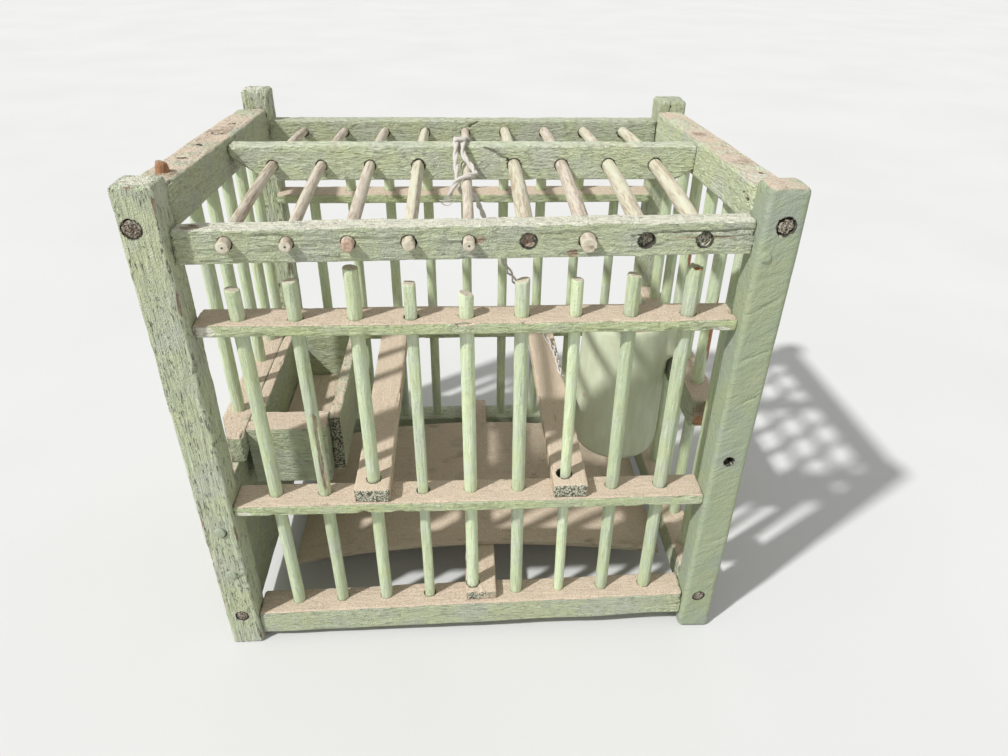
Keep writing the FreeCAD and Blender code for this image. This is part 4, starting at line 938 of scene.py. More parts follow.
def drill(obj, holes, seed):
    """Cut every hole at once: each cutter is a slightly uneven tube, closed at both ends."""
    tubes = []
    for number, (start, end, radius, ragged) in enumerate(holes):
        line = start + np.linspace(0, 1, CUTTER_RINGS)[:, None] * (end - start)
        side, other = steady_sides(line)
        angle = np.linspace(0, 2 * np.pi, CUTTER_SIDES, endpoint=False)
        spots = np.stack(np.broadcast_arrays(np.cos(angle)[None, :] * 1.4, np.sin(angle)[None, :] * 1.4,
                                             number + np.linspace(0, 2, CUTTER_RINGS)[:, None]), axis=-1)
        size = radius * (1 + ragged * rough_noise(spots * (1 + 6 * ragged), seed + number))
        size[[0, -1]] = 0
        line[[0, -1]] = line[[1, -2]]
        tubes.append(skin(line[:, None, :] + (size * np.cos(angle))[..., None] * side[:, None, :]
                          + (size * np.sin(angle))[..., None] * other[:, None, :]))
    cutter = bpy.data.objects.new("cutter", mesh_of("cutter", *join(tubes)))
    scene.collection.objects.link(cutter)
    cut = obj.modifiers.new("holes", "BOOLEAN")
    cut.operation = "DIFFERENCE"
    cut.solver = "EXACT"
    cut.object = cutter
    shaped = bpy.data.meshes.new_from_object(obj.evaluated_get(bpy.context.evaluated_depsgraph_get()))
    obj.modifiers.clear()
    plain = obj.data
    obj.data = shaped
    shaped.name = obj.name
    bpy.data.meshes.remove(plain)
    spare = cutter.data
    bpy.data.objects.remove(cutter)
    bpy.data.meshes.remove(spare)


print("a cutter has", CUTTER_RINGS, "rings of", CUTTER_SIDES)

# %% [markdown]
# ## Corner posts
# Four square posts carry everything. The left front post has weathered into long shreds, and the right
# front post is smoother, with slanting checks in the paint. Pegs go through the posts into the side
# rails, so each post is drilled where a peg or an empty peg hole shows.

# %% Corner posts
SLANTING_CHECKS = [((x, -101, z), (far_x, -101, far_z), wide, deep) for x, z, far_x, far_z, wide, deep in (
    (124, 221, 134, 224, 0.8, 0.3), (119.5, 203, 133, 212, 0.9, 0.5), (121, 180, 136, 186.5, 1.0, 0.5),
    (124, 155, 136, 163, 1.0, 0.5), (120, 141, 128, 143.5, 0.8, 0.35), (120, 96, 131, 101, 0.9, 0.35),
    (126, 66, 136, 73, 0.9, 0.35))]
posts = {
    "left_front_post": Board("left_front_post", "Z", pad=((-0.6, 0, 0), (0, 0, 1.2)), edge=1.5, step=0.5,
                             ridge=0.34, wave=0.2, chip=0.4, stretch=1.8, seed=11,
                             rubbed=[((-127, -93, 262), (16, 16, 14))]),
    "right_front_post": Board("right_front_post", "Z", pad=((0, 0, 0), (1.4, 0, 0)), edge=2.4, step=0.48,
                              ridge=0.08, wave=0.4, chip=0.5, cracks=SLANTING_CHECKS, stretch=1.4, seed=12,
                              bumps=[((122.9, -101, 230.6), 2.2, 0.8)]),
    "left_back_post": Board("left_back_post", "Z", sway=(2.4, 0.0), edge=2.0, ridge=0.35, chip=1.2, seed=13),
    "right_back_post": Board("right_back_post", "Z", pad=((0, 0, 0), (1.5, 0, 0)), edge=2.0, ridge=0.22,
                             chip=1.2, seed=14, cracks=[((126, 85, 245), (126.5, 85, 256), 0.5, 1.2)]),
}
PEG_SPOTS = {
    "left_front_post": [(-130.2, 244.6, 3.9), (-127, 22, 3.2)],
    "right_front_post": [(128.5, 244, 3.9), (127, 26, 3.2)],
    "left_back_post": [(-128.5, 236, 4.5), (-127, 22, 3.2)],
    "right_back_post": [(128.5, 236, 4.5), (127, 122.5, 3.2), (127, 26, 3.2)],
}
TOP_PEGS_ABOVE = 200
PEG_ROOM, PEG_HOLE_Y = 0.2, (103, 98)
NAIL_SHADOWS = [((-126.5, -101, 84.4), (4.1, 3, 4.1)), ((-126.8, -101, 54.3), (3.7, 3, 3.7))]
for name, post in posts.items():
    outside = -1 if "front" in name else 1
    for x, z, radius in PEG_SPOTS[name]:
        ragged = 0.1 if z < TOP_PEGS_ABOVE else 0.38 if name == "right_front_post" else 0.22
        post.bore(*((x, y * outside, z) for y in PEG_HOLE_Y), radius + PEG_ROOM, ragged)
posts["right_front_post"].bore((127, -103, 122.5), (127, -88, 122.5), 2.7, 0.35)
for name, post in posts.items():
    rough = name in ("left_front_post", "left_back_post")
    finish = shredded if rough else post_paint if name == "right_front_post" else ridged["Z"]
    top = (*((post.low + post.high) / 2 / MM)[:2], post.high[2] / MM)
    post.masks(post.build("frame", "painted_wood", finish), dust=0.52 if name == "right_front_post" else 0.35,
               bare=0.7 if rough else 0.35, rim=0.8, bleached=[(top, (9, 9, 2.4))] if rough else (),
               dark=NAIL_SHADOWS if name == "left_front_post" else ())

# %% [markdown]
# ## Rails and slats
# The rails are thick boards on edge, and the slats are thin boards lying flat with a row of holes for the
# bars. Dust has settled on the slats so thickly that their tops are tan. The holes are cut with one
# Boolean for each board, because a bar or a rod can be pulled out and then the hole shows.

# %% Front and back rails and slats
BAR_COUNT, BAR_PITCH = 9, 24.5
BAR_X = BAR_PITCH * (np.arange(BAR_COUNT) - 4)
BAR_LEAN = np.array([-2.7, -2.6, -1.1, -1.3, -1.4, -1.3, -1.8, -1.5, 0.0])
BAR_FOOT, LEAN_HEIGHT = 15.0, 181.35
BAR_ROW, ROD_Z = 89.0, 236.0
BAR_RADII = (3.25, 3.2, 3.3, 3.25, 3.3, 3.3, 2.7, 3.3, 3.45)
ROD_RADII = ((2.7, 2.45, 2.55, 2.4, 2.3), (2.5, 2.5, 2.5, 2.4, 2.3), (2.75, 2.85, 2.6, 2.6, 2.5),
             (2.9, 3.05, 3.1, 2.9, 2.7), (2.6, 2.35, 2.45, 2.4, 2.4), (3.4, 3.75, 3.2, 3.0, 2.9),
             (3.4, 3.45, 3.1, 3.0, 2.8), (3.4, 3.8, 3.25, 3.0, 2.9), (3.4, 3.7, 3.25, 3.0, 2.9))


def bar_x(number, height):
    """A front bar leans: its middle moves sideways in step with its height above the bottom rail."""
    return BAR_X[number] + BAR_LEAN[number] * (height - BAR_FOOT) / LEAN_HEIGHT


def bar_line(number, low, high):
    """Two places on the middle of a front bar, at a lower and a higher level."""
    return [(bar_x(number, height), -BAR_ROW, height) for height in (low, high)]


def rod_bow(number):
    """How far the middle of a roof rod stands above its ends: the tied rod is held a little lower."""
    return 4.1 if number == 5 else 4.6


RAIL_SLOPE, RAIL_LENGTH = 3.0, 238
boards = {
    "front_top_rail": Board("front_top_rail", "X", slope=RAIL_SLOPE, edge=1.2, step=0.45, ridge=0.55, wave=0.35,
                            chip=1.3, seed=21, limits=[((0, -90, 228.6), (RAIL_SLOPE / RAIL_LENGTH, 0, -1), 0.0)],
                            cracks=[((76, -95, 239.4), (119, -95, 240.6), 0.7, 1.4),
                                    ((66, -95, 238), (75, -95, 239), 0.5, 1),
                                    ((96, -95, 237), (119, -95, 238.4), 0.5, 0.8),
                                    ((29.5, -94.6, 227.2), (37, -94.6, 227.4), 1.5, 1.3)]),
    "back_top_rail": Board("back_top_rail", "X", edge=1.0, step=0.5, ridge=0.16, chip=0.8, seed=22,
                           cracks=[((1.5, 85, 239), (12, 85, 244.5), 0.9, 1.4)]),
    "middle_rail": Board("middle_rail", "X", edge=1.0, step=0.45, ridge=0.16, chip=0.8, seed=23,
                         cracks=[((9, -2, 249.8), (22.4, -2, 242.6), 1.0, 1.8)],
                         flats=[((-119, 3, 246), (-0.6, 0, -0.8), 0.3), ((119, 3, 239), (0.55, 0, -0.83), 0.2)]),
    "front_upper_slat": Board("front_upper_slat", "X", edge=1.1, ridge=0.12, wave=0.3, chip=1.2, seed=24,
                              flats=[((-118.4, -95, 196), (-0.8, -0.45, 0.1), 0.8)]),
    "back_upper_slat": Board("back_upper_slat", "X", edge=1.0, ridge=0.12, chip=1.0, seed=25),
    "front_lower_slat": Board("front_lower_slat", "X", edge=1.1, ridge=0.12, wave=0.3, chip=1.2, seed=26,
                              flats=[((-116.5, -90, 93.0), (-0.62, 0, -0.78), 0.5)]),
    "back_lower_slat": Board("back_lower_slat", "X", edge=1.0, ridge=0.12, chip=1.0, seed=27),
    "front_bottom_rail": Board("front_bottom_rail", "X", slope=5.0, edge=1.5, step=0.55, ridge=0.2, wave=0.5,
                               chip=1.2, seed=28, cracks=[((112, -98.6, 16), (119, -98.6, 17), 0.6, 1.2),
                                                          ((108, -98.6, 12), (119, -98.6, 12.5), 0.5, 0.8)]),
    "back_bottom_rail": Board("back_bottom_rail", "X", edge=1.3, ridge=0.18, chip=1.0, seed=29),
}
ROD_ROOM, BAR_ROOM = 0.3, 0.2
SNUG_RODS = {6: 0.12, 7: 0.25, 8: 0.12, 9: 0.12}
ROD_HOLE_ROUGH, BAR_HOLE_ROUGH = 0.14, 0.03
BACK_BAR_HOLE = 3.4
for number, x in enumerate(BAR_X):
    rod_front, _, rod_middle, _, rod_back = ROD_RADII[number]
    rod_rise = ROD_Z + rod_bow(number + 1) - 0.05
    boards["front_top_rail"].bore((x, -98, ROD_Z + 0.2), (x, -82, ROD_Z + 0.1),
                                  rod_front + SNUG_RODS.get(number + 1, ROD_ROOM), ROD_HOLE_ROUGH)
    boards["back_top_rail"].bore((x, 82, ROD_Z), (x, 91.4, ROD_Z), rod_back + ROD_ROOM, ROD_HOLE_ROUGH)
    boards["middle_rail"].bore((x, -5, rod_rise + 0.2), (x, 11, rod_rise + 0.2), rod_middle + ROD_ROOM,
                               ROD_HOLE_ROUGH)
    bar_hole = BAR_RADII[number] + BAR_ROOM
    for label, low, high in (("upper_slat", 190, 203), ("lower_slat", 90, 103)):
        boards[f"front_{label}"].bore(*bar_line(number, low, high), bar_hole, BAR_HOLE_ROUGH)
        boards[f"back_{label}"].bore((x, BAR_ROW, low), (x, BAR_ROW, high), BACK_BAR_HOLE)
    boards["front_bottom_rail"].bore(*bar_line(number, 14.6, 30), bar_hole, BAR_HOLE_ROUGH)
FRONT_RAIL_STAINS = [((4.5, -95, 237.0), (4, 3, 2.6)), ((43, -95, 231), (4, 3, 3)), ((34, -94, 228), (8, 3, 1.4)),
                     ((98, -95, 237.5), (22, 3, 0.9)), ((-112, -90, 243), (9, 7, 3))]
SLAT_ENDS = {"front_upper_slat": [((-115, -96, 196.5), (8, 4, 4)), ((111, -96, 194.4), (8, 3, 1.8))],
             "front_lower_slat": [((-114, -99, 94.6), (5, 3, 2))]}
for name, board in boards.items():
    slat = "slat" in name
    # The middle rail wears the brighter copy: painted sunlight.
    rail_paint = (painted_sunlight if name == "middle_rail" else ridged)["X"]
    dust = 1.25 if slat or name == "front_bottom_rail" else 0.34
    # The front top rail's faces that look up are chalked nearly white: partly bleached paint, partly a painted
    # highlight on the lit top.
    board.masks(board.build("frame", "painted_wood", slat_paint if slat else rail_paint), dust=dust, bare=0.5,
                raw=0.9 if slat else 0.0, rim=0.5 if slat or "bottom" in name else 0.75,
                stains=FRONT_RAIL_STAINS if name == "front_top_rail" else (),
                chalk=0.95 if name == "front_top_rail" else 0.0, bleached=SLAT_ENDS.get(name, ()))

# %% [markdown]
# ## The sides
# Two sloping rails close the roof at the sides. Below them the left side has a ledge and a board under it,
# and the right side has two plain rails. The side bars stop inside the sloping rails, which are not drilled.
# Dark pits on the rails' tops, painted shade standing for the holes, and bare marks show where they come up.

# %% Side rails, ledge and board
SIDE_BAR_PITCH = 26.5
SIDE_BAR_Y = SIDE_BAR_PITCH * (np.arange(6) - 2.5)
SIDE_RAIL_HIGH, SIDE_RAIL_FALL, SIDE_HALF = 256.5, 8.0, 85


def side_rail_top(y):
    """The top of a side rail falls evenly from front to back."""
    return SIDE_RAIL_HIGH - SIDE_RAIL_FALL * (y + SIDE_HALF) / (2 * SIDE_HALF)


sides = {
    "left_top_rail": Board("left_top_rail", "Y", slope=-SIDE_RAIL_FALL, pad=((-1.8, 0, 0), (0, 0, 1.0)), edge=1.8,
                           step=0.5, ridge=0.2, wave=0.6, chip=2.2, seed=31, cracks=[
                               ((-130.6, y, side_rail_top(y) + 1), (-124.4, y - 1, side_rail_top(y) + 1), 1.2, 1.0)
                               for y in SIDE_BAR_Y[[1, 2, 4]]]),
    "right_top_rail": Board("right_top_rail", "Y", slope=-SIDE_RAIL_FALL, edge=1.5, step=0.6, ridge=0.16, wave=0.3,
                            chip=1.2, seed=32, cracks=[((119, -71.4, 249.8), (119, -85, 247), 1.1, 1.4)]),
    "left_ledge": Board("left_ledge", "Y", edge=1.4, ridge=0.2, wave=0.4, chip=1.4, seed=33,
                        flats=[((-131, -54.5, 110), (-0.935, -0.354, 0.0), 0.6)]),
    "left_side_board": Board("left_side_board", "Y", edge=1.2, ridge=0.2, seed=34, step=0.9),
    "right_mid_rail": Board("right_mid_rail", "Y", edge=1.4, ridge=0.2, wave=0.4, chip=1.4, seed=35),
    "right_bottom_rail": Board("right_bottom_rail", "Y", edge=1.4, ridge=0.2, wave=0.3, chip=1.2, seed=36),
}
RIGHT_RAIL_MARKS = [((127 + 1.5 * (-1) ** number, y, side_rail_top(y)), (1.7, 2.2, 3))
                    for number, y in enumerate(SIDE_BAR_Y)]
# Painted shade: dark pits where the side bars' holes would show.
RIGHT_RAIL_PITS = [((128.5, y + 1, side_rail_top(y)), (2.2, 0.9, 3)) for y in SIDE_BAR_Y[::2]]
LEFT_RAIL_PITS = [((x, y, side_rail_top(y) + 1), size) for x, y, size in (
    (-128.4, -39.6, (3.4, 1.4, 3)), (-125.6, -40.4, (1.8, 1.0, 3)), (-128.6, -12.2, (2.2, 1.7, 3)),
    (-126.0, -14.4, (3.0, 1.2, 3)), (-129.6, 13.2, (1.1, 2.2, 3)), (-125.2, 13.4, (1.2, 1.8, 3)),
    (-127.4, 11.0, (2.4, 0.9, 3)), (-127.4, 15.6, (1.6, 0.8, 3)), (-128.2, 39.8, (2.6, 1.2, 3)),
    (-126.0, 40.6, (1.2, 0.9, 3)), (-127.8, 66.2, (1.6, 1.0, 3)))]
SIDE_MARKS = {
    "right_top_rail": dict(fresh=RIGHT_RAIL_MARKS, dark=RIGHT_RAIL_PITS, bleached=[((125, -74, 256), (10, 15, 4))],
                           stains=[((127, -40, 254), (9, 18, 4)), ((125, 10, 252), (9, 20, 4))]),
    "left_top_rail": dict(dark=LEFT_RAIL_PITS,
                          stains=[((-128, 20, 253), (9, 40, 5)), ((-125, -70, 256), (8, 12, 4))]),
    "left_ledge": dict(fresh=[((-127.5, -46.5, 118), (5, 3.4, 3))]),
    "right_mid_rail": dict(stains=[((127, -60, 122), (12, 5, 14))], fresh=[((124, -60, 118), (4, 4, 5))]),
}
SIDE_DUST = {"left_side_board": 0.5, "right_top_rail": 0.62, "left_top_rail": 0.62}
for name, board in sides.items():
    # The right top rail wears the brighter copy: painted sunlight.
    side_paint = (painted_sunlight if name == "right_top_rail" else ridged)["Y"]
    board.masks(board.build("frame", "painted_wood", side_paint), dust=SIDE_DUST.get(name, 1.1), bare=0.6,
                rim=0.85, **SIDE_MARKS.get(name, {}))

# %% [markdown]
# ## Perches, strip, floor and trough
# Two perch strips lie on the lower slats, a strip runs under the middle of the floor, and a thin floor
# board bows over it. The seed trough is a box of five small boards on the left ledge.

# %% Perches, strip, floor and trough
perches = {
    "left_perch": Board("left_perch", "Y", edge=1.0, ridge=0.2, wave=0.35, chip=1.3, seed=41),
    "right_perch": Board("right_perch", "Y", edge=1.0, ridge=0.2, wave=0.35, chip=1.3, seed=42),
    "centre_strip": Board("centre_strip", "Y", edge=0.9, ridge=0.2, wave=0.2, chip=1.0, seed=43),
}
PERCH_DRILLED, STRIP_DRILLED = (97, 110), (21, 32)
perches["left_perch"].bore(*bar_line(2, *PERCH_DRILLED), 3.6, 0.04)
perches["right_perch"].bore(*((bar_x(6, z) - 0.7, 0.5 - BAR_ROW, z) for z in PERCH_DRILLED), 4.0)
perches["centre_strip"].bore(*bar_line(4, *STRIP_DRILLED), 3.6)
for name, x, heights in (("left_perch", -49, PERCH_DRILLED), ("right_perch", 49, PERCH_DRILLED),
                         ("centre_strip", 0, STRIP_DRILLED)):
    perches[name].bore(*((x, BAR_ROW, z) for z in heights), BACK_BAR_HOLE)
for name, board in perches.items():
    fresh = [((bar_x(6, 104) + 0.5, -92.4, 106), 4.2)] if name == "right_perch" else []
    middle = (board.low + board.high) / 2 / MM
    front_end = board.low[1] / MM - (1.1 if name == "centre_strip" else 0)
    board.masks(board.build("frame", "worn_wood", perch_wood), dust=0.85, bare=0.25, fresh=fresh,
                sawn=[((middle[0], front_end, middle[2]), (30, 1.6, 30))])

floor_board = Board("floor_board", "X", bow=12.0, edge=0.8, step=1.0, ridge=0.14, wave=0.5, chip=1.0, seed=44)
floor_board.masks(floor_board.build("frame", "worn_wood", floor_wood), dust=0.7, bare=0.3, grime=0.3,
                  fresh=[((91.9, -60, 30), 4.5)])

for number, (name, along) in enumerate((("trough_front", "X"), ("trough_back", "X"), ("trough_outer_side", "Y"),
                                        ("trough_inner_side", "Y"), ("trough_bottom", "Y"))):
    board = Board(name, along, edge=1.0, ridge=0.2, wave=0.3, chip=1.3, seed=51 + number)
    middle = (board.low + board.high) / 2 / MM
    sawn = [((middle[0], board.low[1] / MM, middle[2]), (30, 1.6, 60))] if along == "Y" else []
    dust = 0.55 if name == "trough_inner_side" else 1.2
    board.masks(board.build("frame", "painted_wood", ridged[along]), dust=dust, bare=0.6, sawn=sawn)

# %% [markdown]
# ## Bars and rods
# The bars were split and whittled, so none is a true cylinder: some are nearly round, and some keep the
# flats of the knife. A stick is a round or many-sided section carried along a line that may bow, with
# closed ends cut a little out of square.

# %% Sticks
def stick(start, end, radius, seed, facets=0, sharp=0.0, bow=0.0, slant=(0.0, 0.0), uneven=0.03, step=2.0,
          around=28, cracks=(), flats=(), ends=0.7):
    """Carry a section from start to end. Its radius is one number, or several at even steps along it. It is
    mixed with a regular polygon's by the share sharp, and varied by noise. Bow lifts the middle, and slant
    tilts the end cuts."""
    start, end = np.array(start, float) * MM, np.array(end, float) * MM
    length = np.linalg.norm(end - start)
    ahead = (end - start) / length
    side = unit(np.cross(ahead, np.array([0.0, 1.0, 0.0] if abs(ahead[1]) < 0.8 else [0.0, 0.0, 1.0])))
    other = np.cross(ahead, side)
    place, pulled, share = ring_stations(length, ends * MM, step * MM).T
    angle = np.linspace(0, 2 * np.pi, around, endpoint=False)
    radii = np.atleast_1d(radius)
    along = np.interp(place / length, np.linspace(0, 1, len(radii)), radii)
    size = np.tile(along[:, None] * MM, (1, around))
    if facets:
        wedge = 2 * np.pi / facets
        turned = np.mod(angle + 0.7 * seed, wedge) - wedge / 2
        size *= 1 + sharp * (np.cos(wedge / 2) / np.cos(turned) * 1.03 - 1)[None, :]
    spots = np.stack(np.broadcast_arrays(1.3 * np.cos(angle)[None, :], 1.3 * np.sin(angle)[None, :],
                                         place[:, None] * 70 + 9.1 * seed), axis=-1)
    lumps = rough_noise(spots * np.array([1, 1, 0.5]), seed)
    knife_marks = rough_noise(spots * 2.3, seed + 1)
    size *= 1 + uneven * lumps + 0.5 * uneven * knife_marks
    size = (size - pulled[:, None]) * share[:, None]
    across = np.cos(angle)[None, :] * size
    upward = np.sin(angle)[None, :] * size
    part = place / length
    tilt = np.where(part < 0.5, slant[0], slant[1])[:, None] * across * (np.abs(part - 0.5) > 0.47)[:, None]
    rings = (start + place[:, None, None] * ahead + across[..., None] * side + upward[..., None] * other
             + tilt[..., None] * ahead)
    rings[..., 2] += (4 * bow * MM * part * (1 - part))[:, None]
    flat = rings.reshape(-1, 3)
    if cracks:
        flat = flat - crack_depth(flat, cracks, seed)[:, None] * grid_normals(rings).reshape(-1, 3)
    rings = shave(flat, flats, seed).reshape(rings.shape)
    rings[[0, -1]] = rings[[0, -1]].mean(axis=1, keepdims=True)
    return skin(rings)


def stick_masks(obj, axis, tips=1.0, stain=0.0, grime=0.5, dust=0.15, bare=0.3, cracks=(), seed=1, fresh=(),
                pith=None):
    """Raw wood or sawn grain on the cut ends, rubbed patches along the stick, grime in the pith, painted shade in
    splits, and a painted highlight on the ridge crests.
    """
    points, outward = vertices(obj)
    slow = rough_noise(points * 150, seed + 7, 3)
    cut = ease(np.abs(outward[:, axis]), 0.72, 0.95)
    dirt = 0.3 * ease(slow, 0.2, 0.9)
    if cracks:
        # Painted shade: the inside of a split is darkened.
        split = crack_depth(points, cracks, seed)
        dirt = np.maximum(dirt, ease(split, 0.45 * MM, 0.9 * MM))
        bare = np.maximum(bare, 3.0 * ease(split, 0.05 * MM, 0.3 * MM))
    broken = most_of(points, fresh)
    if pith:
        from_pith = np.linalg.norm(points - np.array(pith) * MM, axis=1)
        dirt = np.maximum(dirt, 2.0 * (1 - ease(from_pith, 0.2 * MM, 0.8 * MM)))
    # The crest mask paints the ridge crests paler: a painted highlight.
    settle(obj, dust=dust * ease(outward[:, 2], 0.5, 0.9), raw=tips * cut, grime=grime * dirt, fresh=broken,
           bare=np.maximum(bare - 0.3, bare * ease(slow, 0.1, 0.8)), ends=stain * cut * (1 - 0.55 * broken),
           crest=ridge_height(points, axis, seed))


print("a stick of 50 mm has", len(stick((0, 0, 0), (0, 0, 50), 3.0, 1)[0]), "points")

# %% Front bars
FRONT_BAR_TOP = (213.7, 217.2, 223.2, 215.6, 210.8, 216.8, 216.6, 218.8, 223.2)
BAR_SHAPES = ((0, 0.0), (6, 0.25), (0, 0.0), (4, 0.6), (0, 0.0), (9, 0.3), (0, 0.0), (7, 0.7), (6, 0.6))
# Which copy each front bar gets, by how its light fell: painted light and shade.
BAR_PAINTED_LIGHT_LEVELS = ("middle", "deep", "middle", "middle", "pale", "middle", "pale", "deep", "deep")
BAR_SLANT = (0.15, -0.1, 0.1, 0.05, 0.3, -0.25, 0.05, 0.2, -0.3)
for number in range(BAR_COUNT):
    top = FRONT_BAR_TOP[number] - 0.5 * abs(BAR_SLANT[number]) * BAR_RADII[number]
    split = []
    if number == 1:
        split = [((bar_x(1, 150) + 1.6, -BAR_ROW - 2.9, 150), (bar_x(1, 104) + 1.2, -BAR_ROW - 3.0, 104), 1.2, 1.3),
                 ((bar_x(1, 192) + 2.4, -BAR_ROW - 2.2, 192), (bar_x(1, 140) + 2.0, -BAR_ROW - 2.6, 140), 0.6, 0.9)]
    facets, sharp = BAR_SHAPES[number]
    snapped = [((bar_x(8, top) - 1, -BAR_ROW, top - 1.0), (0.10, -0.05, 1), 1.1)] if number == 8 else ()
    shape = stick(*bar_line(number, BAR_FOOT, top), BAR_RADII[number], 61 + number, facets, sharp,
                  slant=(0.0, BAR_SLANT[number]), cracks=split, step=1.4, around=40, flats=snapped)
    bar = piece(f"front_bar_{number + 1}_wood", f"front_bar_{number + 1}",
                bar_paints_with_painted_light[BAR_PAINTED_LIGHT_LEVELS[number]], [f"front_bar_{number + 1}"], [shape])
    stick_masks(bar, 2, cracks=split, seed=61 + number, grime=0.8 if split else 0.4,
                fresh=[((bar_x(8, top) + 1, -BAR_ROW - 1, top), 3.6)] if snapped else ())
print("front bars", len(FRONT_BAR_TOP))

# %% Back bars and side bars
BACK_BAR_TOP, BACK_BAR_RADIUS = 216.2, 3.25
SIDE_X, SIDE_BAR_RADIUS, SIDE_BAR_SHORT = 127, 3.3, 4
LEFT_BAR_FOOT, RIGHT_BAR_FOOT = 112, 28


def side_bar(x, y, foot, seed):
    """A stick with six soft sides, from its foot to a little under the top of the sloping rail."""
    return stick((x, y, foot), (x, y, side_rail_top(y) - SIDE_BAR_SHORT), SIDE_BAR_RADIUS, seed, 6, 0.25, step=2.5)


back_bars = piece("back_bars_wood", "frame", bar_paints_with_painted_light["middle"], ["back_bars"], [
    stick((x, BAR_ROW, BAR_FOOT), (x, BAR_ROW, BACK_BAR_TOP), BACK_BAR_RADIUS, 71 + number, 6, 0.3 * (number % 3),
          step=2.5)
    for number, x in enumerate(BAR_X)])
stick_masks(back_bars, 2, seed=71)
left_bars = [side_bar(-SIDE_X, y, LEFT_BAR_FOOT, 81 + number) for number, y in enumerate(SIDE_BAR_Y) if number > 0]
stub_y = SIDE_BAR_Y[0]
left_bars.append(stick((-SIDE_X, stub_y, 246), (-SIDE_X, stub_y, 261), (3.2, 3.2, 3.1, 2.2), 87, 7, 0.3,
                       uneven=0.1, step=0.8, slant=(0, 0.4), ends=1.2))
left_side = piece("left_side_bars_wood", "frame", bar_paints_with_painted_light["middle"], ["left_side_bars"],
                  left_bars)
stick_masks(left_side, 2, seed=81, tips=0.0, stain=1.0, fresh=[((-SIDE_X, stub_y, 258), 6.0)])
right_side = piece("right_side_bars_wood", "frame", bar_paints_with_painted_light["middle"], ["right_side_bars"], [
    side_bar(SIDE_X, y, RIGHT_BAR_FOOT, 91 + number) for number, y in enumerate(SIDE_BAR_Y)])
stick_masks(right_side, 2, seed=91, tips=0.0, dust=1.0, stain=0.4,
            fresh=[((129.5, SIDE_BAR_Y[3] - 1, 190), (4, 5, 34)), ((129.5, SIDE_BAR_Y[1] - 1, 165), (4, 5, 30))])
print("fixed bars", len(BAR_X) + 2 * len(SIDE_BAR_Y))

# %% Roof rods
ROD_FRONT = (-99.4, -98.8, -99.0, -98.4, -99.2, -93.5, -99.8, -93.0, -93.8)
DRAWN_RODS = (1, 2, 3, 4, 7)
BROKEN_RODS = (6, 8, 9)
PITHY_RODS = (1, 2, 5)
GREEN_RODS = (4, 6, 8, 9)
ROD_CRACKS = {
    4: [((-23.0, -84, 239.4), (-23.0, -6, 243.4), 0.5, 0.8), ((-21.9, -84, 238.0), (-22.0, -12, 242.4), 0.4, 0.6)],
    7: [((49.3, -99.8, 235.6), (51.8, -99.4, 233.6), 1.0, 1.4)],
}
for number in range(1, BAR_COUNT + 1):
    x, front = BAR_X[number - 1], ROD_FRONT[number - 1]
    facets, sharp = {3: (6, 0.35), 4: (4, 0.55), 8: (7, 0.3)}.get(number, (0, 0.0))
    broken = number in BROKEN_RODS
    shape = stick((x, front, ROD_Z), (x, 91, ROD_Z), ROD_RADII[number - 1], 101 + number, facets, sharp,
                  bow=rod_bow(number), step=1.8, slant=(0.1 * (number % 3 - 1), 0), around=32,
                  cracks=ROD_CRACKS.get(number, ()),
                  flats=[((x, front + 1.0, ROD_Z), (0.1, -1, 0.15), 1.6)] if broken else ())
    rod_body = f"roof_rod_{number}" if number in DRAWN_RODS else "frame"
    rod = piece(f"roof_rod_{number}_wood", rod_body,
                green_rod_wood if number in GREEN_RODS else rod_wood, [f"roof_rod_{number}"], [shape])
    stick_masks(rod, 1, seed=101 + number, dust=0.0, tips=0.0 if broken else 0.9, stain=1.0 if broken else 0.0,
                cracks=ROD_CRACKS.get(number, ()), grime=0.9 if number in ROD_CRACKS else 0.5,
                fresh=[((x, front, ROD_Z), 5.0)] if number in (3, 6) else [],
                pith=(x, front, ROD_Z) if number in PITHY_RODS else None)
print("roof rods", len(ROD_FRONT))

# %% [markdown]
# ## Pegs and nails
# Pegs were cut flush with the posts and show their dark end grain. The nails' heads were painted over
# with the wood. A peg is a short stick, and a nail head is a low dome turned round its own axis.

# %% Pegs
PEG_FACE, PEG_DEEP = 100.7, 92


def peg_skin(x, z, radius, outside, uneven, seed):
    """A short stick of seven blunt sides that ends just inside the post's face."""
    return stick((x, PEG_FACE * outside, z), (x, PEG_DEEP * outside, z), radius, seed, 7, 0.5, uneven=uneven,
                 step=1.0, ends=0.5)


rail_pegs, side_pegs = [], []
for count, (name, spots) in enumerate(PEG_SPOTS.items()):
    for x, z, radius in spots:
        shrunk = name == "right_front_post" and z > TOP_PEGS_ABOVE
        made = peg_skin(x, z, radius - (0.6 if shrunk else 0.0), -1 if "front" in name else 1,
                        0.25 if shrunk else 0.12, 121 + 7 * count)
        (rail_pegs if z > TOP_PEGS_ABOVE else side_pegs).append(made)
for name, skins in (("rail_pegs", rail_pegs), ("side_pegs", side_pegs)):
    pegs = piece(f"{name}_wood", "frame", peg_end, [name], skins)
    settle(pegs, grime=np.zeros(len(pegs.data.vertices)), fresh=np.zeros(len(pegs.data.vertices)))
print("pegs", len(rail_pegs), len(side_pegs))

# %% Nails
NAIL_RADIUS, POST_FACE = 2.8, 101
NAILS = ((85, -1, 1.15), (54.5, -1, 0.7), (85, 1, 1.0), (54.5, 1, 0.8))


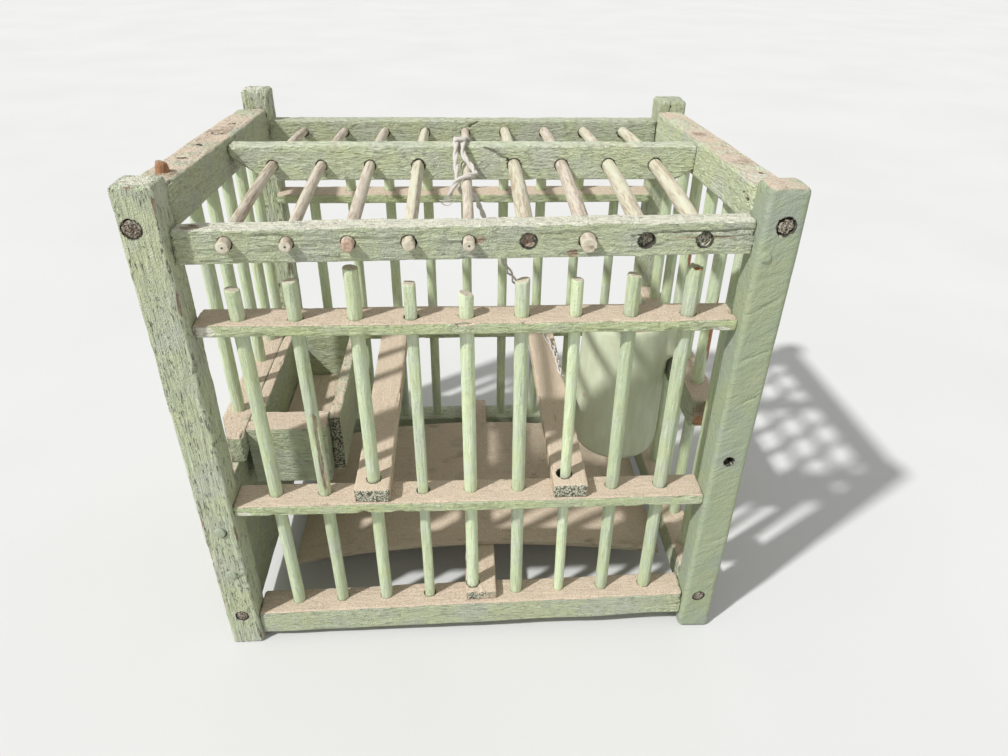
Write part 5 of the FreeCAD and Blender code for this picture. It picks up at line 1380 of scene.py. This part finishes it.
def nail_head(x, z, outside, proud, seed):
    """A dome: its radius follows the sine and its height the cosine of one angle, with a slight wobble."""
    rise = np.linspace(0, 1, 12)[:, None]
    angle = np.linspace(0, 2 * np.pi, 40, endpoint=False)[None, :]
    spots = np.stack(np.broadcast_arrays(np.cos(angle), np.sin(angle), rise + seed), axis=-1)
    radius = NAIL_RADIUS * MM * np.minimum(rise * 1.25, 1) * (1 + 0.05 * rough_noise(spots, seed))
    radius[[0]] = 0
    dome = 0.35 * np.cos(np.clip(rise * 1.25, 0, 1) * np.pi / 2) ** 0.6
    out = MM * (proud + dome - 2.5 * np.clip(rise * 5 - 4, 0, 1))
    rings = np.stack(np.broadcast_arrays(x * MM + radius * np.cos(angle), outside * (POST_FACE * MM + out),
                                         z * MM + radius * np.sin(angle)), axis=-1).copy()
    rings[-1] = rings[-1].mean(axis=0)
    return skin(rings)


nails = piece("nail_heads", "frame", nail_paint, ["nails"],
              [nail_head(-SIDE_X, z, outside, proud, 3 + number) for number, (z, outside, proud) in enumerate(NAILS)])
stick_masks(nails, 1, tips=0.0, bare=0.1, seed=5)
print("nails", len(NAILS))

# %% [markdown]
# ## Feeder cup
# The cup was turned and then carved: its rim runs out into a broad lip that hooks over the right middle
# rail. A lathe shape is one profile for all angles. Here there are two profiles, one for the plain wall
# and one that goes out over the rail, and a weight that is 1 towards the rail blends between them.

# %% Feeder cup
CUP_X, CUP_Y = 92.1, -4.0
RIM_FALL = 0.16
CUP_FOOT = ((0, 64.5), (13, 64.5), (20, 65.0), (23.8, 67.4), (25.6, 71.6), (26, 78), (25.9, 95))
CUP_INSIDE = ((21.6, 146), (21.5, 136), (21.6, 122), (21.8, 104), (21.6, 82), (19.5, 74), (14, 70.6), (0, 70))
PLAIN_SIDE = ((25.6, 112), (25.4, 124), (25.3, 131.8), (25.2, 134), (25.1, 137), (25.0, 140), (24.9, 144),
              (24.8, 149), (24.2, 151.6), (22.9, 152), (21.9, 151))
HOOKED_SIDE = ((25.8, 112), (26.0, 123), (26.6, 128.6), (31, 131.7), (36.6, 131.9), (37.2, 134.8), (36, 138.4),
               (32, 142.6), (27.4, 148.6), (24, 151.4), (22, 150.6))
PLAIN_WALL, HOOKED_WALL = (np.array(CUP_FOOT + side + CUP_INSIDE) for side in (PLAIN_SIDE, HOOKED_SIDE))


def cup_rings(around=160, refine=6):
    """Blend the two profiles by the angle from the rail, refine each, and let the rim fall to the back."""
    knots = np.arange(len(PLAIN_WALL))
    fine = np.linspace(0, len(PLAIN_WALL) - 1, (len(PLAIN_WALL) - 1) * refine + 1)
    plain, hooked = (np.stack([np.interp(fine, knots, wall[:, k]) for k in (0, 1)], axis=1)
                     for wall in (PLAIN_WALL, HOOKED_WALL))
    soften = np.array([1, 2, 3, 2, 1]) / 9
    for wall in (plain, hooked):
        for k in (0, 1):
            padded = np.pad(wall[:, k], 2, mode="edge")
            wall[1:-1, k] = np.convolve(padded, soften, mode="valid")[1:-1]
    angle = np.linspace(-np.pi, np.pi, around, endpoint=False)
    weight = (1 - ease(np.abs(angle), 0.18, 0.75))[None, :, None]
    wall = (1 - weight) * plain[:, None, :] + weight * hooked[:, None, :]
    spots = np.stack(np.broadcast_arrays(np.cos(angle)[None, :], np.sin(angle)[None, :], wall[..., 1] / 24),
                     axis=-1)
    radius = wall[..., 0] * (1 + 0.008 * rough_noise(spots, 8))
    sag = RIM_FALL * radius * np.sin(angle) * ease(wall[..., 1], 134, 150)
    return MM * np.stack([CUP_X + radius * np.cos(angle), CUP_Y + radius * np.sin(angle), wall[..., 1] - sag],
                         axis=-1)


cup = piece("feeder_cup_turned", "feeder_cup", cup_finish, ["feeder_cup"], [skin(cup_rings())])
cup_points, cup_out = vertices(cup)
# The cup is darker towards its bottom.
settle(cup, dust=0.6 * ease(cup_out[:, 2], 0.5, 0.9), bare=near_spot(cup_points, (68.5, -15, 107), 2.4),
       grime=0.4 * (1 - ease(cup_points[:, 2], 0.065, 0.078)))
print("cup faces", len(cup.data.polygons))

# %% [markdown]
# ## Floor and light
# The cage stands on a plain pale floor. A sun from the upper left front gives the shadows, and an even sky
# fills them, at a level where a colour comes out about as it is written. The sky looks brighter to the
# camera than it shines on the cage, so the background is pale and the paint keeps its tone.

# %% Floor
def pale_floor():
    """Nearly one pale grey, with a slow change so that it isn't flat."""
    coat = Finish("pale_floor")
    coat.colour(coat.ramp(coat.noise(coat.places, 4.0, 2.0), (0.3, (0.60, 0.60, 0.59)), (0.7, (0.63, 0.63, 0.62))))
    coat.shader.inputs["Roughness"].default_value = 0.9
    return coat.material


FLOOR_HALF = 7.0
corners = [(-1, -1), (1, -1), (1, 1), (-1, 1)]
ground = bpy.data.meshes.new("floor")
ground.from_pydata([(FLOOR_HALF * x, FLOOR_HALF * y, 0) for x, y in corners], [], [(0, 1, 2, 3)])
ground.materials.append(pale_floor())
floor = bpy.data.objects.new("floor", ground)
scene.collection.objects.link(floor)
floor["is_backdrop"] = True
print("floor", 2 * FLOOR_HALF, "m wide")

# %% Sun and sky
SKY_LIGHT, SKY_SEEN = 0.56, 0.88
SUN_STRENGTH, SUN_SPREAD = 3.6, math.radians(2.6)
SUN_DIRECTION = (0.57, 0.38, -0.77)
sun = bpy.data.lights.new("key", "SUN")
sun.energy = SUN_STRENGTH
sun.angle = SUN_SPREAD
key = bpy.data.objects.new("key", sun)
key.rotation_euler = Vector(SUN_DIRECTION).to_track_quat("-Z", "Y").to_euler()
scene.collection.objects.link(key)
sky = bpy.data.worlds.new("sky")
sky.use_nodes = True
sky_nodes, sky_links = sky.node_tree.nodes, sky.node_tree.links
sky_nodes["Background"].inputs["Color"].default_value = (1.0, 1.0, 1.0, 1.0)
seen = sky_nodes.new("ShaderNodeLightPath")
looked_at = seen.outputs["Is Camera Ray"]
for kind in ("Is Glossy Ray", "Is Transmission Ray"):
    either = sky_nodes.new("ShaderNodeMath")
    either.operation = "MAXIMUM"
    sky_links.new(looked_at, either.inputs[0])
    sky_links.new(seen.outputs[kind], either.inputs[1])
    looked_at = either.outputs[0]
strength = sky_nodes.new("ShaderNodeMapRange")
strength.inputs["To Min"].default_value = SKY_LIGHT
strength.inputs["To Max"].default_value = SKY_SEEN
sky_links.new(looked_at, strength.inputs["Value"])
sky_links.new(strength.outputs[0], sky_nodes["Background"].inputs["Strength"])
scene.world = sky
scene.view_settings.view_transform = "Standard"
print("lights ready")

# %% [markdown]
# ## Close
# The bounds of the dressed cage are measured, leaving out the floor.

# %% Close
low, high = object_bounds()
